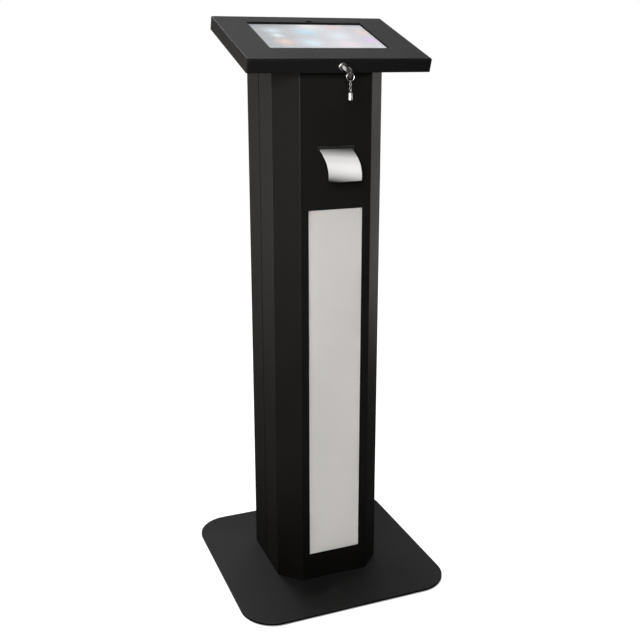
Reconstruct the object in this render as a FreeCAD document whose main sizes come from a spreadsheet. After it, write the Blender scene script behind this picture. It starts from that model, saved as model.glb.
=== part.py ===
import FreeCAD, Part
import math
import os
import Sketcher
from FreeCAD import Placement, Rotation, Vector

# A floor-standing tablet kiosk: a square foot plate, a folded steel column with a
# hinged rear door, a receipt printer and a sign behind the column's front, and a
# tilted head whose hinged cover holds down a tablet and closes with a cam lock.
# Millimetres, +Z up, front towards -Y, origin on the floor at the middle of the foot.

os.makedirs("parts", exist_ok=True)
doc = FreeCAD.newDocument("tablet_kiosk")
sheet = doc.addObject("Spreadsheet::Sheet", "sizes")
pieces = []

# Foot
pad_thick = 1.0
pad_radius = 12
pad_inset = 46
base_side = 400
base_thick = 5
base_corner = 62
base_edge = 0.6
bracket_thick = 4
bracket_tab = 40

# Column
sheet_thick = 1.5
bend_outer = 3
column_width = 202
front_width = 130
front_face = -92
side_front = -54.5
seam_place = 14
rear_face = 83
door_top = 974
door_gap = 0.5
flange_wide = 21
door_flange = 14
notch_wide = 34
notch_high = 24
trim_thick = 2

# Sign and slot in the column's front
sign_width = 100
sign_bottom = 58
sign_top = 713
sign_lap = 5
cover_sheet = 2
print_sheet = 0.5
backing_sheet = 3
slot_width = 68
slot_height = 8
slot_below = 1.5
paper_level = 815

# Printer and paper
paper_width = 60
paper_thick = 0.25
curl_radius = 46
curl_angle = 45
tip_radius = 32
tip_angle = 71
tip_slant = 3.2
roll_radius = 24
core_radius = 8
spindle_radius = 6
roll_behind = 41
platen_radius = 6
platen_shaft = 2.5
platen_behind = 12
cheek_gap = 70
cheek_thick = 1.5
cheek_flange = 14
curl_start = 2
platen_gap = 0.1
roll_gap = 0.3
print_half = 4
print_high = 15
tear_lift = 1.2
tear_high = 10.3
tear_tooth = 1.4
tear_thick = 1
frame_wall = 1.5
frame_lip = 8

# Head
head_tilt = 19
head_front = -122.5
head_level = 963
head_width = 325
head_depth = 222
head_thick = 23.5
skirt_lift = 0.3
window_width = 216
window_depth = 136.6
window_shift = 10.9
camera_side = 10.2
camera_gap = 5.1
camera_wide = 12
camera_deep = 7
tray_gap = 0.5
tray_rim = 9
plate_thick = 3
cable_radius = 22
cable_back = 112

# Tablet
tablet_width = 250
tablet_depth = 158
tablet_thick = 8
tablet_corner = 10
glass_thick = 1
display_thick = 0.6
glass_drop = 4.2
gasket_slack = 0.1
holder_leg = 30
holder_wall = 4
case_edge = 1.5
case_wall = 2
display_margin = 0.5
lens_radius = 2.8
gasket_back = 0.3
gasket_border = 7
grommet_lip = 2

# Locks and key
lock_radius = 6
lock_flange = 7
lock_length = 19
lock_drop = 12.6
plug_radius = 4.5
plug_play = 0.05
cam_reach = 8.5
cam_wide = 7
cam_thick = 1.5
door_lock_inset = 35
door_lock_level = 500
door_cam_reach = 15
key_thick = 1.0
key_blade = 5.2
key_inside = 14
bow_start = 21
bow_end = 38.5
bow_half = 7.5
bow_thick = 2
key_hole_out = 33
key_hole_up = 3.1
key_hole = 2.1
bow_round = 5.5
bow_shoulder = 2
tooth_step = 2.8
tooth_deep = 1.3
cap_thick = 2
cap_bevel = 0.7
lock_nut_high = 3
lock_nut_across = 15
stub_radius = 2.4
cam_screw_shank = 1.2
strike_gap = 0.5
strike_foot = 12
strike_reach = 4
ring_radius = 6.4
ring_wire = 0.5
link_inner = 1.15
link_wire = 0.45
link_long = 3.6
tag_radius = 3.4
link_gap = 0.1
tag_long = 14
tag_hollow = 3
tag_wall = 0.8
tag_shoulder = 3.5
tag_neck = 1.2

# Hinges
knuckle_radius = 2.5
pin_radius = 1.2
pin_play = 0.05
leaf_thick = 1.2
knuckle_off = 0.2
knuckle_end = 0.3
door_hinge_long = 60
cover_hinge_long = 40
cover_hinge_side = 105
leaf_reach = 18
hinge_low = 120
hinge_middle = 490
hinge_high = 860
rest_gap = 0.2

# Fasteners
bolt_shank = 3
bolt_head = 5
bolt_head_high = 3
bolt_head_sink = 3.5
bolt_play = 0.3
nut_across = 10
nut_high = 5
socket_across = 4
socket_deep = 2
bolt_inset = 41
bolt_front = -60
bolt_back = 45
neck_inset = 46
neck_before = 32
neck_behind = 38
small_shank = 1.5
small_head = 2.8
small_head_high = 1.6
small_head_sink = 3
small_nut_across = 5.5
small_nut_high = 2.4


class Size:
    # A length or an angle: its number, and the same thing as an expression on the sheet.
    def __init__(self, number, text):
        self.number = float(number)
        self.text = text

    def __add__(self, other):
        other = as_size(other)
        return Size(self.number + other.number, "(%s + %s)" % (self.text, other.text))

    def __sub__(self, other):
        other = as_size(other)
        return Size(self.number - other.number, "(%s - %s)" % (self.text, other.text))

    def __mul__(self, other):
        other = as_size(other)
        return Size(self.number * other.number, "(%s * %s)" % (self.text, other.text))

    def __truediv__(self, other):
        other = as_size(other)
        return Size(self.number / other.number, "(%s / %s)" % (self.text, other.text))

    def __neg__(self):
        return self * -1

    __radd__ = __add__
    __rmul__ = __mul__

    def __rsub__(self, other):
        return as_size(other) - self


def as_size(value):
    return value if isinstance(value, Size) else Size(value, "(%r)" % float(value))


def sine(angle):
    return Size(math.sin(math.radians(angle.number)), "sin(%s * 1 deg)" % angle.text)


def cosine(angle):
    return Size(math.cos(math.radians(angle.number)), "cos(%s * 1 deg)" % angle.text)


def root(value):
    return Size(math.sqrt(value.number), "sqrt(%s)" % value.text)


# Every number named so far is a row of the sheet, and from here on a Size bound to it
given = [name for name, value in list(globals().items()) if isinstance(value, (int, float))]
for row, alias in enumerate(given, 1):
    value = globals()[alias]
    sheet.set("A%d" % row, alias)
    sheet.set("B%d" % row, str(value))
    sheet.setAlias("B%d" % row, alias)
    globals()[alias] = Size(value, "sizes." + alias)
doc.recompute()

# Counts
tooth_count = 4
link_count = 4
tear_teeth = 35

# Places that follow from the sizes above
hinge_levels = [hinge_low, hinge_middle, hinge_high]
half_column = column_width / 2
half_front = front_width / 2
base_top = pad_thick + base_thick
inner_front = front_face + sheet_thick
chamfer_across = half_column - half_front
chamfer_back = side_front - front_face
chamfer_long = root(chamfer_across * chamfer_across + chamfer_back * chamfer_back)
tilt_sine = sine(head_tilt)
tilt_cosine = cosine(head_tilt)
tray_floor = sheet_thick - head_thick
bolt_side = half_column - bolt_inset
bolt_places = [(bolt_side * side, end) for side in (-1, 1) for end in (bolt_front, bolt_back)]
slot_low = paper_level - slot_below
neck_side = half_column - neck_inset
neck_ends = [cable_back - neck_before, cable_back + neck_behind]
neck_places = [(neck_side * side, end) for side in (-1, 1) for end in neck_ends]
window_front = (head_depth - window_depth) / 2 + window_shift
camera_back = window_front + window_depth + camera_gap
tablet_middle = window_front + window_depth / 2
holder_side = tablet_width / 2 + holder_wall - holder_leg / 2
holder_end = tablet_depth / 2 + holder_wall - holder_leg / 2
holder_places = [(holder_side * side, tablet_middle + holder_end * end)
                 for side in (-1, 1) for end in (-1, 1)]
door_lock_side = door_lock_inset - half_column
curl_y = front_face + curl_start
roll_y = front_face + roll_behind
roll_z = paper_level - roll_gap - roll_radius
platen_y = front_face + platen_behind
platen_z = paper_level + paper_thick + platen_gap + platen_radius
key_hole_y = head_front - key_hole_out * tilt_cosine + (lock_drop - key_hole_up) * tilt_sine
key_hole_z = head_level - key_hole_out * tilt_sine - (lock_drop - key_hole_up) * tilt_cosine
ring_y = key_hole_y
ring_top = key_hole_z - key_hole + ring_wire + link_gap
link_top = ring_top - ring_radius * 2 + ring_wire + link_gap
chain_low = link_top - link_long * link_count + link_gap * (link_count - 1)
far = 250


def head_underside(y, drop):
    # Height at depth y of the plane that lies the given drop below the head's top face.
    along = y - head_front - drop * tilt_sine
    return head_level - drop * tilt_cosine + along * tilt_sine / tilt_cosine


def rectangle(x0, y0, x1, y1):
    return [(as_size(x), as_size(y)) for x, y in ((x0, y0), (x1, y0), (x1, y1), (x0, y1))]


def polygon(*points):
    return [(as_size(x), as_size(y)) for x, y in points]


def circle(x, y, radius):
    return (as_size(x), as_size(y), as_size(radius))


def hexagon(x, y, across):
    # A nut's outline with two sides upright.
    half = as_size(across) / 2
    corner = half * (2 / math.sqrt(3))
    return polygon((x + half, y - corner / 2), (x + half, y + corner / 2), (x, y + corner),
                   (x - half, y + corner / 2), (x - half, y - corner / 2), (x, y - corner))


def new_piece(label, on_head=False):
    body = doc.addObject("PartDesign::Body", label)
    body.Label = label
    if on_head:
        tip_to_head(body)
    pieces.append(body)
    return body


def tip_to_head(thing):
    # The head's own frame: origin on its upper front edge, +Y up its slope.
    thing.Placement = Placement(Vector(0, head_front.number, head_level.number),
                                Rotation(Vector(1, 0, 0), head_tilt.number))
    thing.setExpression("Placement.Base.y", head_front.text)
    thing.setExpression("Placement.Base.z", head_level.text)
    thing.setExpression("Placement.Rotation.Angle", head_tilt.text)


def settle(body, feature):
    doc.recompute()
    if not feature.isValid():
        raise RuntimeError("%s of %s can't be made" % (feature.TypeId, body.Label))
    return feature


def hold(sketch, kind, shape, point, value):
    index = sketch.addConstraint(Sketcher.Constraint(kind, -1, 1, shape, point, value.number))
    sketch.setExpression("Constraints[%d]" % index, value.text)


def draw(sketch, loop):
    first = sketch.GeometryCount
    if isinstance(loop, tuple):
        x, y, radius = loop
        sketch.addGeometry(Part.Circle(Vector(x.number, y.number), Vector(0, 0, 1), radius.number))
        hold(sketch, "DistanceX", first, 3, x)
        hold(sketch, "DistanceY", first, 3, y)
        index = sketch.addConstraint(Sketcher.Constraint("Radius", first, radius.number))
        sketch.setExpression("Constraints[%d]" % index, radius.text)
        return
    corners = [Vector(x.number, y.number) for x, y in loop]
    count = len(corners)
    for place in range(count):
        sketch.addGeometry(Part.LineSegment(corners[place], corners[(place + 1) % count]))
    for place in range(count):
        following = first + (place + 1) % count
        sketch.addConstraint(Sketcher.Constraint("Coincident", first + place, 2, following, 1))
    for place, (x, y) in enumerate(loop):
        hold(sketch, "DistanceX", first + place, 1, x)
        hold(sketch, "DistanceY", first + place, 1, y)


def sketch_on(body, plane, offset, loops):
    # plane is "XY", "XZ" or "YZ"; the XZ plane's outward side is -Y.
    sketch = body.newObject("Sketcher::SketchObject", body.Label + "_sketch")
    origin = next(item for item in body.Origin.OriginFeatures if item.Role == plane + "_Plane")
    sketch.AttachmentSupport = [(origin, "")]
    sketch.MapMode = "FlatFace"
    sketch.AttachmentOffset = Placement(Vector(0, 0, offset.number), Rotation())
    sketch.setExpression("AttachmentOffset.Base.z", offset.text)
    for loop in loops:
        draw(sketch, loop)
    return sketch


def add(body, plane, low, high, *loops):
    # Material between two places on the axis that is square to the plane.
    low, high = as_size(low), as_size(high)
    sketch = sketch_on(body, plane, -high if plane == "XZ" else low, loops)
    feature = body.newObject("PartDesign::Pad", body.Label + "_pad")
    feature.Profile = sketch
    feature.Length = (high - low).number
    feature.setExpression("Length", (high - low).text)
    return settle(body, feature)


def cut(body, plane, low, high, *loops):
    low, high = as_size(low), as_size(high)
    before = body.Shape.Volume
    sketch = sketch_on(body, plane, -low if plane == "XZ" else high, loops)
    feature = body.newObject("PartDesign::Pocket", body.Label + "_pocket")
    feature.Profile = sketch
    feature.Length = (high - low).number
    feature.setExpression("Length", (high - low).text)
    settle(body, feature)
    if body.Shape.Volume >= before:
        raise RuntimeError("a pocket in %s cuts nothing" % body.Label)
    return feature


def soften(body, radius, pick, kind="Fillet"):
    # Rounds, or bevels, the edges that pick chooses by their middle and direction.
    base = body.Tip
    names = []
    for index, edge in enumerate(base.Shape.Edges):
        along = edge.tangentAt(edge.FirstParameter)
        middle = edge.valueAt((edge.FirstParameter + edge.LastParameter) / 2)
        if pick(middle, along):
            names.append("Edge%d" % (index + 1))
    if not names:
        raise RuntimeError("no edge to soften on %s" % body.Label)
    feature = body.newObject("PartDesign::" + kind, body.Label + "_" + kind.lower())
    feature.Base = (base, names)
    name = "Radius" if kind == "Fillet" else "Size"
    setattr(feature, name, radius.number)
    feature.setExpression(name, radius.text)
    return settle(body, feature)


def hollow(body, wall, open_side):
    # Keeps a wall inside every face except those that open_side chooses by their normal.
    base = body.Tip
    names = []
    for index, face in enumerate(base.Shape.Faces):
        flat = isinstance(face.Surface, Part.Plane)
        if flat and open_side(face.normalAt(0, 0)):
            names.append("Face%d" % (index + 1))
    feature = body.newObject("PartDesign::Thickness", body.Label + "_wall")
    feature.Base = (base, names)
    feature.Value = wall.number
    feature.setExpression("Value", wall.text)
    feature.Reversed = True
    return settle(body, feature)


def near(value, target, slack=0.01):
    return abs(value - target.number) < slack


def upright(along):
    return abs(along.z) > 0.999


def column_outline(inset, back):
    # The column's plan, all its walls moved inwards by the inset.
    side_share = (chamfer_long - chamfer_back) / chamfer_across
    front_share = (chamfer_long - chamfer_across) / chamfer_back
    side = half_column - inset
    side_y = side_front + inset * side_share
    front = half_front - inset * front_share
    front_y = front_face + inset
    return polygon((-side, back), (-side, side_y), (-front, front_y),
                   (front, front_y), (side, side_y), (side, back))


def slant_top(body, drop):
    # Takes away what stands above a plane parallel to the head.
    low_y, high_y = as_size(-far), as_size(far)
    low_z, high_z = head_underside(low_y, drop), head_underside(high_y, drop)
    cut(body, "YZ", -far, far, polygon((low_y, low_z), (high_y, high_z), (high_y, high_z + far),
                                       (low_y, high_z + far)))


# Foot

def make_foot():
    foot = new_piece("base_plate")
    half = base_side / 2
    add(foot, "XY", pad_thick, base_top, rectangle(-half, -half, half, half))
    soften(foot, base_corner, lambda middle, along: upright(along))
    soften(foot, base_edge, lambda middle, along: abs(along.z) < 0.01, "Chamfer")
    cut(foot, "XY", pad_thick - 1, base_top + 1,
        *[circle(x, y, bolt_shank + bolt_play) for x, y in bolt_places])
    cut(foot, "XY", pad_thick - 1, pad_thick + bolt_head_sink,
        *[circle(x, y, bolt_head + bolt_play * 2) for x, y in bolt_places])

    pads = new_piece("foot_pads")
    place = half - pad_inset
    add(pads, "XY", 0, pad_thick, *[circle(place * side, place * end, pad_radius)
                                    for side in (-1, 1) for end in (-1, 1)])

    bracket = new_piece("foot_bracket")
    inset = sheet_thick + rest_gap
    bracket_top = base_top + bracket_thick
    back = seam_place - sheet_thick - rest_gap
    tongue = half_column - flange_wide - rest_gap
    add(bracket, "XY", base_top, bracket_top, column_outline(inset, back))
    add(bracket, "XY", base_top, bracket_top, rectangle(-tongue, back - 1, tongue, bolt_back + nut_across))
    side = half_column - inset
    for turn in (-1, 1):
        low, high = (-side, -side + bracket_thick) if turn < 0 else (side - bracket_thick, side)
        add(bracket, "XY", base_top, base_top + bracket_tab,
            rectangle(low, side_front + bend_outer, high, seam_place - flange_wide))
    cut(bracket, "XY", base_top - 1, bracket_top + 1,
        *[circle(x, y, bolt_shank + bolt_play) for x, y in bolt_places])

    bolts = new_piece("base_bolts")
    seat = pad_thick + bolt_head_sink
    head_low = seat - bolt_head_high
    add(bolts, "XY", head_low, seat, *[circle(x, y, bolt_head) for x, y in bolt_places])
    add(bolts, "XY", seat, bracket_top + nut_high + 2, *[circle(x, y, bolt_shank) for x, y in bolt_places])
    cut(bolts, "XY", head_low - 1, head_low + socket_deep,
        *[hexagon(x, y, socket_across) for x, y in bolt_places])

    nuts = new_piece("base_nuts")
    add(nuts, "XY", bracket_top, bracket_top + nut_high,
        *[hexagon(x, y, nut_across) for x, y in bolt_places])
    cut(nuts, "XY", bracket_top - 1, bracket_top + nut_high + 1,
        *[circle(x, y, bolt_shank + pin_play) for x, y in bolt_places])


# Column

def make_column():
    column = new_piece("column_front")
    top = head_underside(seam_place, head_thick + rest_gap)
    add(column, "XY", base_top, top + 1, column_outline(as_size(0), seam_place))
    soften(column, bend_outer, lambda middle, along: upright(along) and not near(middle.y, seam_place))
    slant_top(column, head_thick + rest_gap)
    hollow(column, sheet_thick, lambda normal: normal.y > 0.99 or abs(normal.z) > 0.5)
    flanges = []
    for turn in (-1, 1):
        outer, inner = (half_column - sheet_thick) * turn, (half_column - flange_wide) * turn
        low, high = (outer, inner) if turn < 0 else (inner, outer)
        flanges.append(rectangle(low, seam_place - sheet_thick, high, seam_place))
    add(column, "XY", base_top, door_top, *flanges)
    cut(column, "XZ", front_face - 1, inner_front + 1,
        rectangle(-sign_width / 2, sign_bottom, sign_width / 2, sign_top))
    cut(column, "XZ", front_face - 1, inner_front + 1,
        rectangle(-slot_width / 2, slot_low, slot_width / 2, slot_low + slot_height))

    collar = new_piece("neck_collar")
    collar_front = seam_place + door_gap / 2
    top = head_underside(rear_face, head_thick + rest_gap)
    add(collar, "XY", door_top + door_gap * 2, top + 1,
        rectangle(-half_column, collar_front, half_column, rear_face))
    soften(collar, bend_outer, lambda middle, along: upright(along) and near(middle.y, rear_face))
    slant_top(collar, head_thick + rest_gap)
    hollow(collar, sheet_thick, lambda normal: normal.y < -0.99 or abs(normal.z) > 0.5)
    link_y = seam_place - 12
    for turn in (-1, 1):
        outer, inner = half_column * turn - sheet_thick * turn, (half_column - sheet_thick * 2) * turn
        low, high = (outer, inner) if turn < 0 else (inner, outer)
        add(collar, "XY", door_top + door_gap * 2, head_underside(link_y, head_thick + plate_thick + 1),
            rectangle(low, link_y, high, collar_front + 12))


def along_head(y, drop):
    # How far up the head's slope the point at depth y lies, the given drop below its top.
    return (y - head_front - drop * tilt_sine) / tilt_cosine


def make_neck():
    plate = new_piece("head_mount_plate", on_head=True)
    back = rear_face - sheet_thick - bend_outer
    outline = [(x, along_head(y, head_thick)) for x, y in column_outline(sheet_thick + rest_gap, back)]
    underside = -head_thick - plate_thick
    add(plate, "XY", underside, -head_thick, outline)
    cut(plate, "XY", underside - 1, 1 - head_thick, circle(0, cable_back, cable_radius),
        *[circle(x, y, bolt_shank + bolt_play) for x, y in neck_places])

    bolts = new_piece("head_bolts", on_head=True)
    add(bolts, "XY", underside - nut_high - 2, tray_floor,
        *[circle(x, y, bolt_shank) for x, y in neck_places])
    add(bolts, "XY", tray_floor, tray_floor + bolt_head_high,
        *[circle(x, y, bolt_head) for x, y in neck_places])
    cut(bolts, "XY", tray_floor + bolt_head_high - socket_deep, tray_floor + bolt_head_high + 1,
        *[hexagon(x, y, socket_across) for x, y in neck_places])

    nuts = new_piece("head_nuts", on_head=True)
    add(nuts, "XY", underside - nut_high, underside, *[hexagon(x, y, nut_across) for x, y in neck_places])
    cut(nuts, "XY", underside - nut_high - 1, underside + 1,
        *[circle(x, y, bolt_shank + pin_play) for x, y in neck_places])

    grommet = new_piece("head_grommet", on_head=True)
    add(grommet, "XY", underside, tray_floor, circle(0, cable_back, cable_radius - rest_gap))
    add(grommet, "XY", tray_floor, tray_floor + grommet_lip,
        circle(0, cable_back, cable_radius + grommet_lip * 2))
    cut(grommet, "XY", underside - 1, tray_floor + grommet_lip + 1,
        circle(0, cable_back, cable_radius - grommet_lip * 2))


# Head tray and what it carries

def make_tray():
    tray = new_piece("head_tray", on_head=True)
    side = head_width / 2 - sheet_thick - tray_gap
    front = sheet_thick + tray_gap
    back = head_depth - front
    rim_top = tray_floor + tray_rim
    add(tray, "XY", -head_thick, tray_floor, rectangle(-side, front, side, back))
    add(tray, "XY", tray_floor, rim_top, rectangle(-side, front, sheet_thick - side, back),
        rectangle(side - sheet_thick, front, side, back))
    add(tray, "XY", tray_floor, rim_top,
        rectangle(sheet_thick - side, back - sheet_thick, side - sheet_thick, back))
    cut(tray, "XY", -head_thick - 1, tray_floor + 1, circle(0, cable_back, cable_radius),
        *[circle(x, y, bolt_shank + bolt_play) for x, y in neck_places])
    cut(tray, "XY", -head_thick - 1, tray_floor + 1,
        *[circle(x, y, small_shank + bolt_play) for x, y in holder_places])

    holders = new_piece("corner_holders", on_head=True)
    ledge_top = -glass_drop - tablet_thick
    half_wide, half_deep = tablet_width / 2 + rest_gap, tablet_depth / 2 + rest_gap
    walls, ledges = [], []
    for side_sign in (-1, 1):
        for end_sign in (-1, 1):
            outer_x, outer_y = (half_wide + holder_wall) * side_sign, (half_deep + holder_wall) * end_sign
            inner_x, inner_y = half_wide * side_sign, half_deep * end_sign
            leg_x, leg_y = outer_x - holder_leg * side_sign, outer_y - holder_leg * end_sign
            corner = [(outer_x, outer_y), (leg_x, outer_y), (leg_x, inner_y), (inner_x, inner_y),
                      (inner_x, leg_y), (outer_x, leg_y)]
            walls.append(polygon(*[(x, y + tablet_middle) for x, y in corner]))
            ledges.append(rectangle(leg_x, leg_y + tablet_middle, outer_x, outer_y + tablet_middle))
    add(holders, "XY", tray_floor, ledge_top, *ledges)
    add(holders, "XY", ledge_top, -glass_drop, *walls)
    seat = ledge_top - small_head_sink
    cut(holders, "XY", tray_floor - 1, seat + 1,
        *[circle(x, y, small_shank + pin_play) for x, y in holder_places])
    cut(holders, "XY", seat, ledge_top + 1, *[circle(x, y, small_head + rest_gap) for x, y in holder_places])

    screws = new_piece("holder_screws", on_head=True)
    add(screws, "XY", seat, seat + small_head_high, *[circle(x, y, small_head) for x, y in holder_places])
    add(screws, "XY", -head_thick, seat, *[circle(x, y, small_shank) for x, y in holder_places])

    strike = new_piece("lock_strike", on_head=True)
    lip = cam_wide / 2 - lock_drop + strike_gap
    post = cam_reach + cam_wide / 2 + 1
    start = lock_radius + strike_gap
    add(strike, "XZ", lock_length - 2, lock_length + 4,
        polygon((start, lip), (post + sheet_thick, lip), (post + sheet_thick, lip + sheet_thick),
                (start, lip + sheet_thick)))
    add(strike, "XZ", lock_length - 2, lock_length + 4,
        rectangle(post, tray_floor, post + sheet_thick, lip))
    add(strike, "XZ", lock_length - 2, lock_length + 4,
        rectangle(post + sheet_thick, tray_floor, post + strike_foot, tray_floor + sheet_thick))


def make_tablet():
    low = -glass_drop - tablet_thick
    half_wide, half_deep = tablet_width / 2, tablet_depth / 2
    case = new_piece("tablet_case", on_head=True)
    add(case, "XY", low, -glass_drop, rectangle(-half_wide, tablet_middle - half_deep,
                                                half_wide, tablet_middle + half_deep))
    soften(case, tablet_corner, lambda middle, along: upright(along))
    soften(case, case_edge, lambda middle, along: near(middle.z, low))
    seat = -glass_drop - glass_thick
    wide, deep = half_wide - case_wall, half_deep - case_wall
    bend = tablet_corner - case_wall
    cut(case, "XY", seat, 1 - glass_drop,
        rectangle(bend - wide, tablet_middle - deep, wide - bend, tablet_middle + deep))
    cut(case, "XY", seat, 1 - glass_drop,
        rectangle(-wide, tablet_middle - deep + bend, wide, tablet_middle + deep - bend))
    cut(case, "XY", seat, 1 - glass_drop,
        *[circle((wide - bend) * side, tablet_middle + (deep - bend) * end, bend)
          for side in (-1, 1) for end in (-1, 1)])
    show_wide, show_deep = window_width / 2 + display_margin, window_depth / 2 + display_margin
    cut(case, "XY", seat - display_thick, seat + 0.1,
        rectangle(-show_wide, tablet_middle - show_deep, show_wide, tablet_middle + show_deep),
        circle(camera_side, camera_back, lens_radius))

    display = new_piece("tablet_display", on_head=True)
    add(display, "XY", seat - display_thick, seat,
        rectangle(-show_wide, tablet_middle - show_deep, show_wide, tablet_middle + show_deep))

    lens = new_piece("tablet_camera", on_head=True)
    add(lens, "XY", seat - display_thick, seat, circle(camera_side, camera_back, lens_radius))

    glass = new_piece("tablet_glass", on_head=True)
    add(glass, "XY", seat, -glass_drop, rectangle(-wide, tablet_middle - deep, wide, tablet_middle + deep))
    soften(glass, tablet_corner - case_wall, lambda middle, along: upright(along))


# Head cover and its lock

def make_cover():
    cover = new_piece("head_cover", on_head=True)
    half = head_width / 2
    skirt = skirt_lift - head_thick
    add(cover, "XY", skirt, 0, rectangle(-half, 0, half, head_depth))
    soften(cover, bend_outer, lambda middle, along: upright(along) or near(middle.z, as_size(0)))
    hollow(cover, sheet_thick, lambda normal: normal.z < -0.99)
    left, front = window_width / 2, window_front
    cut(cover, "XY", -sheet_thick - 1, 1, rectangle(-left, front, left, front + window_depth))
    ends = (camera_wide - camera_deep) / 2
    cut(cover, "XY", -sheet_thick - 1, 1, rectangle(camera_side - ends, camera_back - camera_deep / 2,
                                                    camera_side + ends, camera_back + camera_deep / 2))
    for turn in (-1, 1):
        cut(cover, "XY", -sheet_thick - 1, 1,
            circle(camera_side + ends * turn, camera_back, camera_deep / 2))
    cut(cover, "XZ", -1, sheet_thick + 1, circle(0, -lock_drop, lock_radius + pin_play * 2))

    gasket = new_piece("window_gasket", on_head=True)
    low, high = gasket_slack - glass_drop, -sheet_thick
    wide = left + gasket_back
    behind = front + window_depth + gasket_back
    add(gasket, "XY", low, high, rectangle(-wide - gasket_border, front - gasket_back - gasket_border,
                                           wide + gasket_border, behind + gasket_border))
    cut(gasket, "XY", low - 1, high + 1, rectangle(-wide, front - gasket_back, wide, behind))
    cut(gasket, "XY", low - 1, high + 1,
        rectangle(camera_side - camera_wide / 2 - 1, camera_back - camera_deep / 2,
                  camera_side + camera_wide / 2 + 1, front + window_depth + gasket_border * 2))


def cam_lock(prefix, on_head, side, level, face, outwards, reach, arm):
    # A cam lock: its axis is along the XZ plane's normal, its cap on the given face.
    # outwards is -1 where the cap looks towards -Y and 1 towards +Y; arm is where the
    # cam points, as a pair of signs along X and Z.
    def span(near_face, far_face):
        # distances behind the face, as a low and a high place along Y
        first, second = face - near_face * outwards, face - far_face * outwards
        return (first, second) if first.number < second.number else (second, first)

    housing = new_piece(prefix + "lock_housing", on_head)
    add(housing, "XZ", *span(as_size(0), lock_length), circle(side, level, lock_radius))
    add(housing, "XZ", *span(-cap_thick, as_size(0)), circle(side, level, lock_flange))
    cap_front = (face + cap_thick * outwards).number
    soften(housing, cap_bevel, lambda middle, along: abs(middle.y - cap_front) < 0.01, "Chamfer")
    cut(housing, "XZ", *span(-cap_thick - 1, lock_length + 1), circle(side, level, plug_radius + plug_play))

    nut = new_piece(prefix + "lock_nut", on_head)
    add(nut, "XZ", *span(sheet_thick, sheet_thick + lock_nut_high), hexagon(side, level, lock_nut_across))
    cut(nut, "XZ", *span(sheet_thick - 1, sheet_thick + lock_nut_high + 1),
        circle(side, level, lock_radius + pin_play))

    plug = new_piece(prefix + "lock_plug", on_head)
    add(plug, "XZ", *span(-cap_thick, lock_length), circle(side, level, plug_radius))
    stub = lock_length + cam_thick + pin_play * 10
    add(plug, "XZ", *span(lock_length, stub), circle(side, level, stub_radius))
    keyway_end = key_inside + 1
    cut(plug, "XZ", *span(-cap_thick - 1, keyway_end),
        rectangle(side - key_thick / 2 - plug_play * 2, level - key_blade / 2 - plug_play * 2,
                  side + key_thick / 2 + plug_play * 2, level + key_blade / 2 + plug_play * 2))
    cut(plug, "XZ", *span(keyway_end + 1, stub + 1), circle(side, level, cam_screw_shank + plug_play))

    cam = new_piece(prefix + "lock_cam", on_head)
    behind = lock_length + pin_play * 5
    arm_x, arm_z = arm
    arm_end_x, arm_end_z = side + reach * arm_x, level + reach * arm_z
    half = cam_wide / 2
    low_x, high_x = (arm_end_x, side) if arm_x < 0 else (side, arm_end_x)
    low_z, high_z = (arm_end_z, level) if arm_z < 0 else (level, arm_end_z)
    if arm_x == 0:
        low_x, high_x = side - half, side + half
    if arm_z == 0:
        low_z, high_z = level - half, level + half
    add(cam, "XZ", *span(behind, behind + cam_thick), rectangle(low_x, low_z, high_x, high_z))
    add(cam, "XZ", *span(behind, behind + cam_thick), circle(side, level, half + pin_play * 10))
    cut(cam, "XZ", *span(behind - 1, behind + cam_thick + 1), circle(side, level, stub_radius + plug_play))

    screw = new_piece(prefix + "cam_screw", on_head)
    add(screw, "XZ", *span(stub, stub + cap_thick), circle(side, level, stub_radius + 0.8))
    add(screw, "XZ", *span(keyway_end + 2, stub), circle(side, level, cam_screw_shank))


def make_key():
    key = new_piece("key", on_head=True)
    low, high = -lock_drop - key_blade / 2, -lock_drop + key_blade / 2
    add(key, "YZ", -key_thick / 2, key_thick / 2, rectangle(-bow_start, low, key_inside, high))
    add(key, "YZ", -bow_thick / 2, bow_thick / 2,
        rectangle(-bow_end, -lock_drop - bow_half, -bow_start, -lock_drop + bow_half))
    soften(key, bow_round, lambda middle, along: abs(along.x) > 0.99 and middle.y < -bow_start.number - 1)
    soften(key, bow_shoulder, lambda middle, along: abs(along.x) > 0.99 and near(middle.y, -bow_start)
           and abs(abs(middle.z + lock_drop.number) - bow_half.number) < 0.01)
    cut(key, "YZ", -bow_thick, bow_thick, circle(-key_hole_out, key_hole_up - lock_drop, key_hole))
    for place in range(tooth_count):
        middle = key_inside - tooth_step * (place + 1)
        deep = tooth_deep * (1 + place % 2) / 2
        cut(key, "YZ", -key_thick, key_thick,
            polygon((middle - tooth_deep, low - 0.1), (middle + tooth_deep, low - 0.1),
                    (middle, low + deep)))


def wire_section(x, y, radius):
    # A round wire's section as eight flats inside the circle.
    slant = radius * math.sqrt(0.5)
    return polygon((x + radius, y), (x + slant, y + slant), (x, y + radius), (x - slant, y + slant),
                   (x - radius, y), (x - slant, y - slant), (x, y - radius), (x + slant, y - slant))


def bend_wire(body, level, radius, wire, angle=360, axis="V_Axis", upwards=False):
    # Wire bent round the axis of the sketch that lies at the given level.
    middle = (radius, 0) if axis == "V_Axis" else (0, radius)
    sketch = sketch_on(body, "XY", as_size(level), [wire_section(*middle, wire)])
    bend = body.newObject("PartDesign::Revolution", body.Label + "_bend")
    bend.Profile = sketch
    bend.ReferenceAxis = (sketch, [axis])
    bend.Angle = angle
    bend.Reversed = upwards
    return settle(body, bend)


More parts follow.
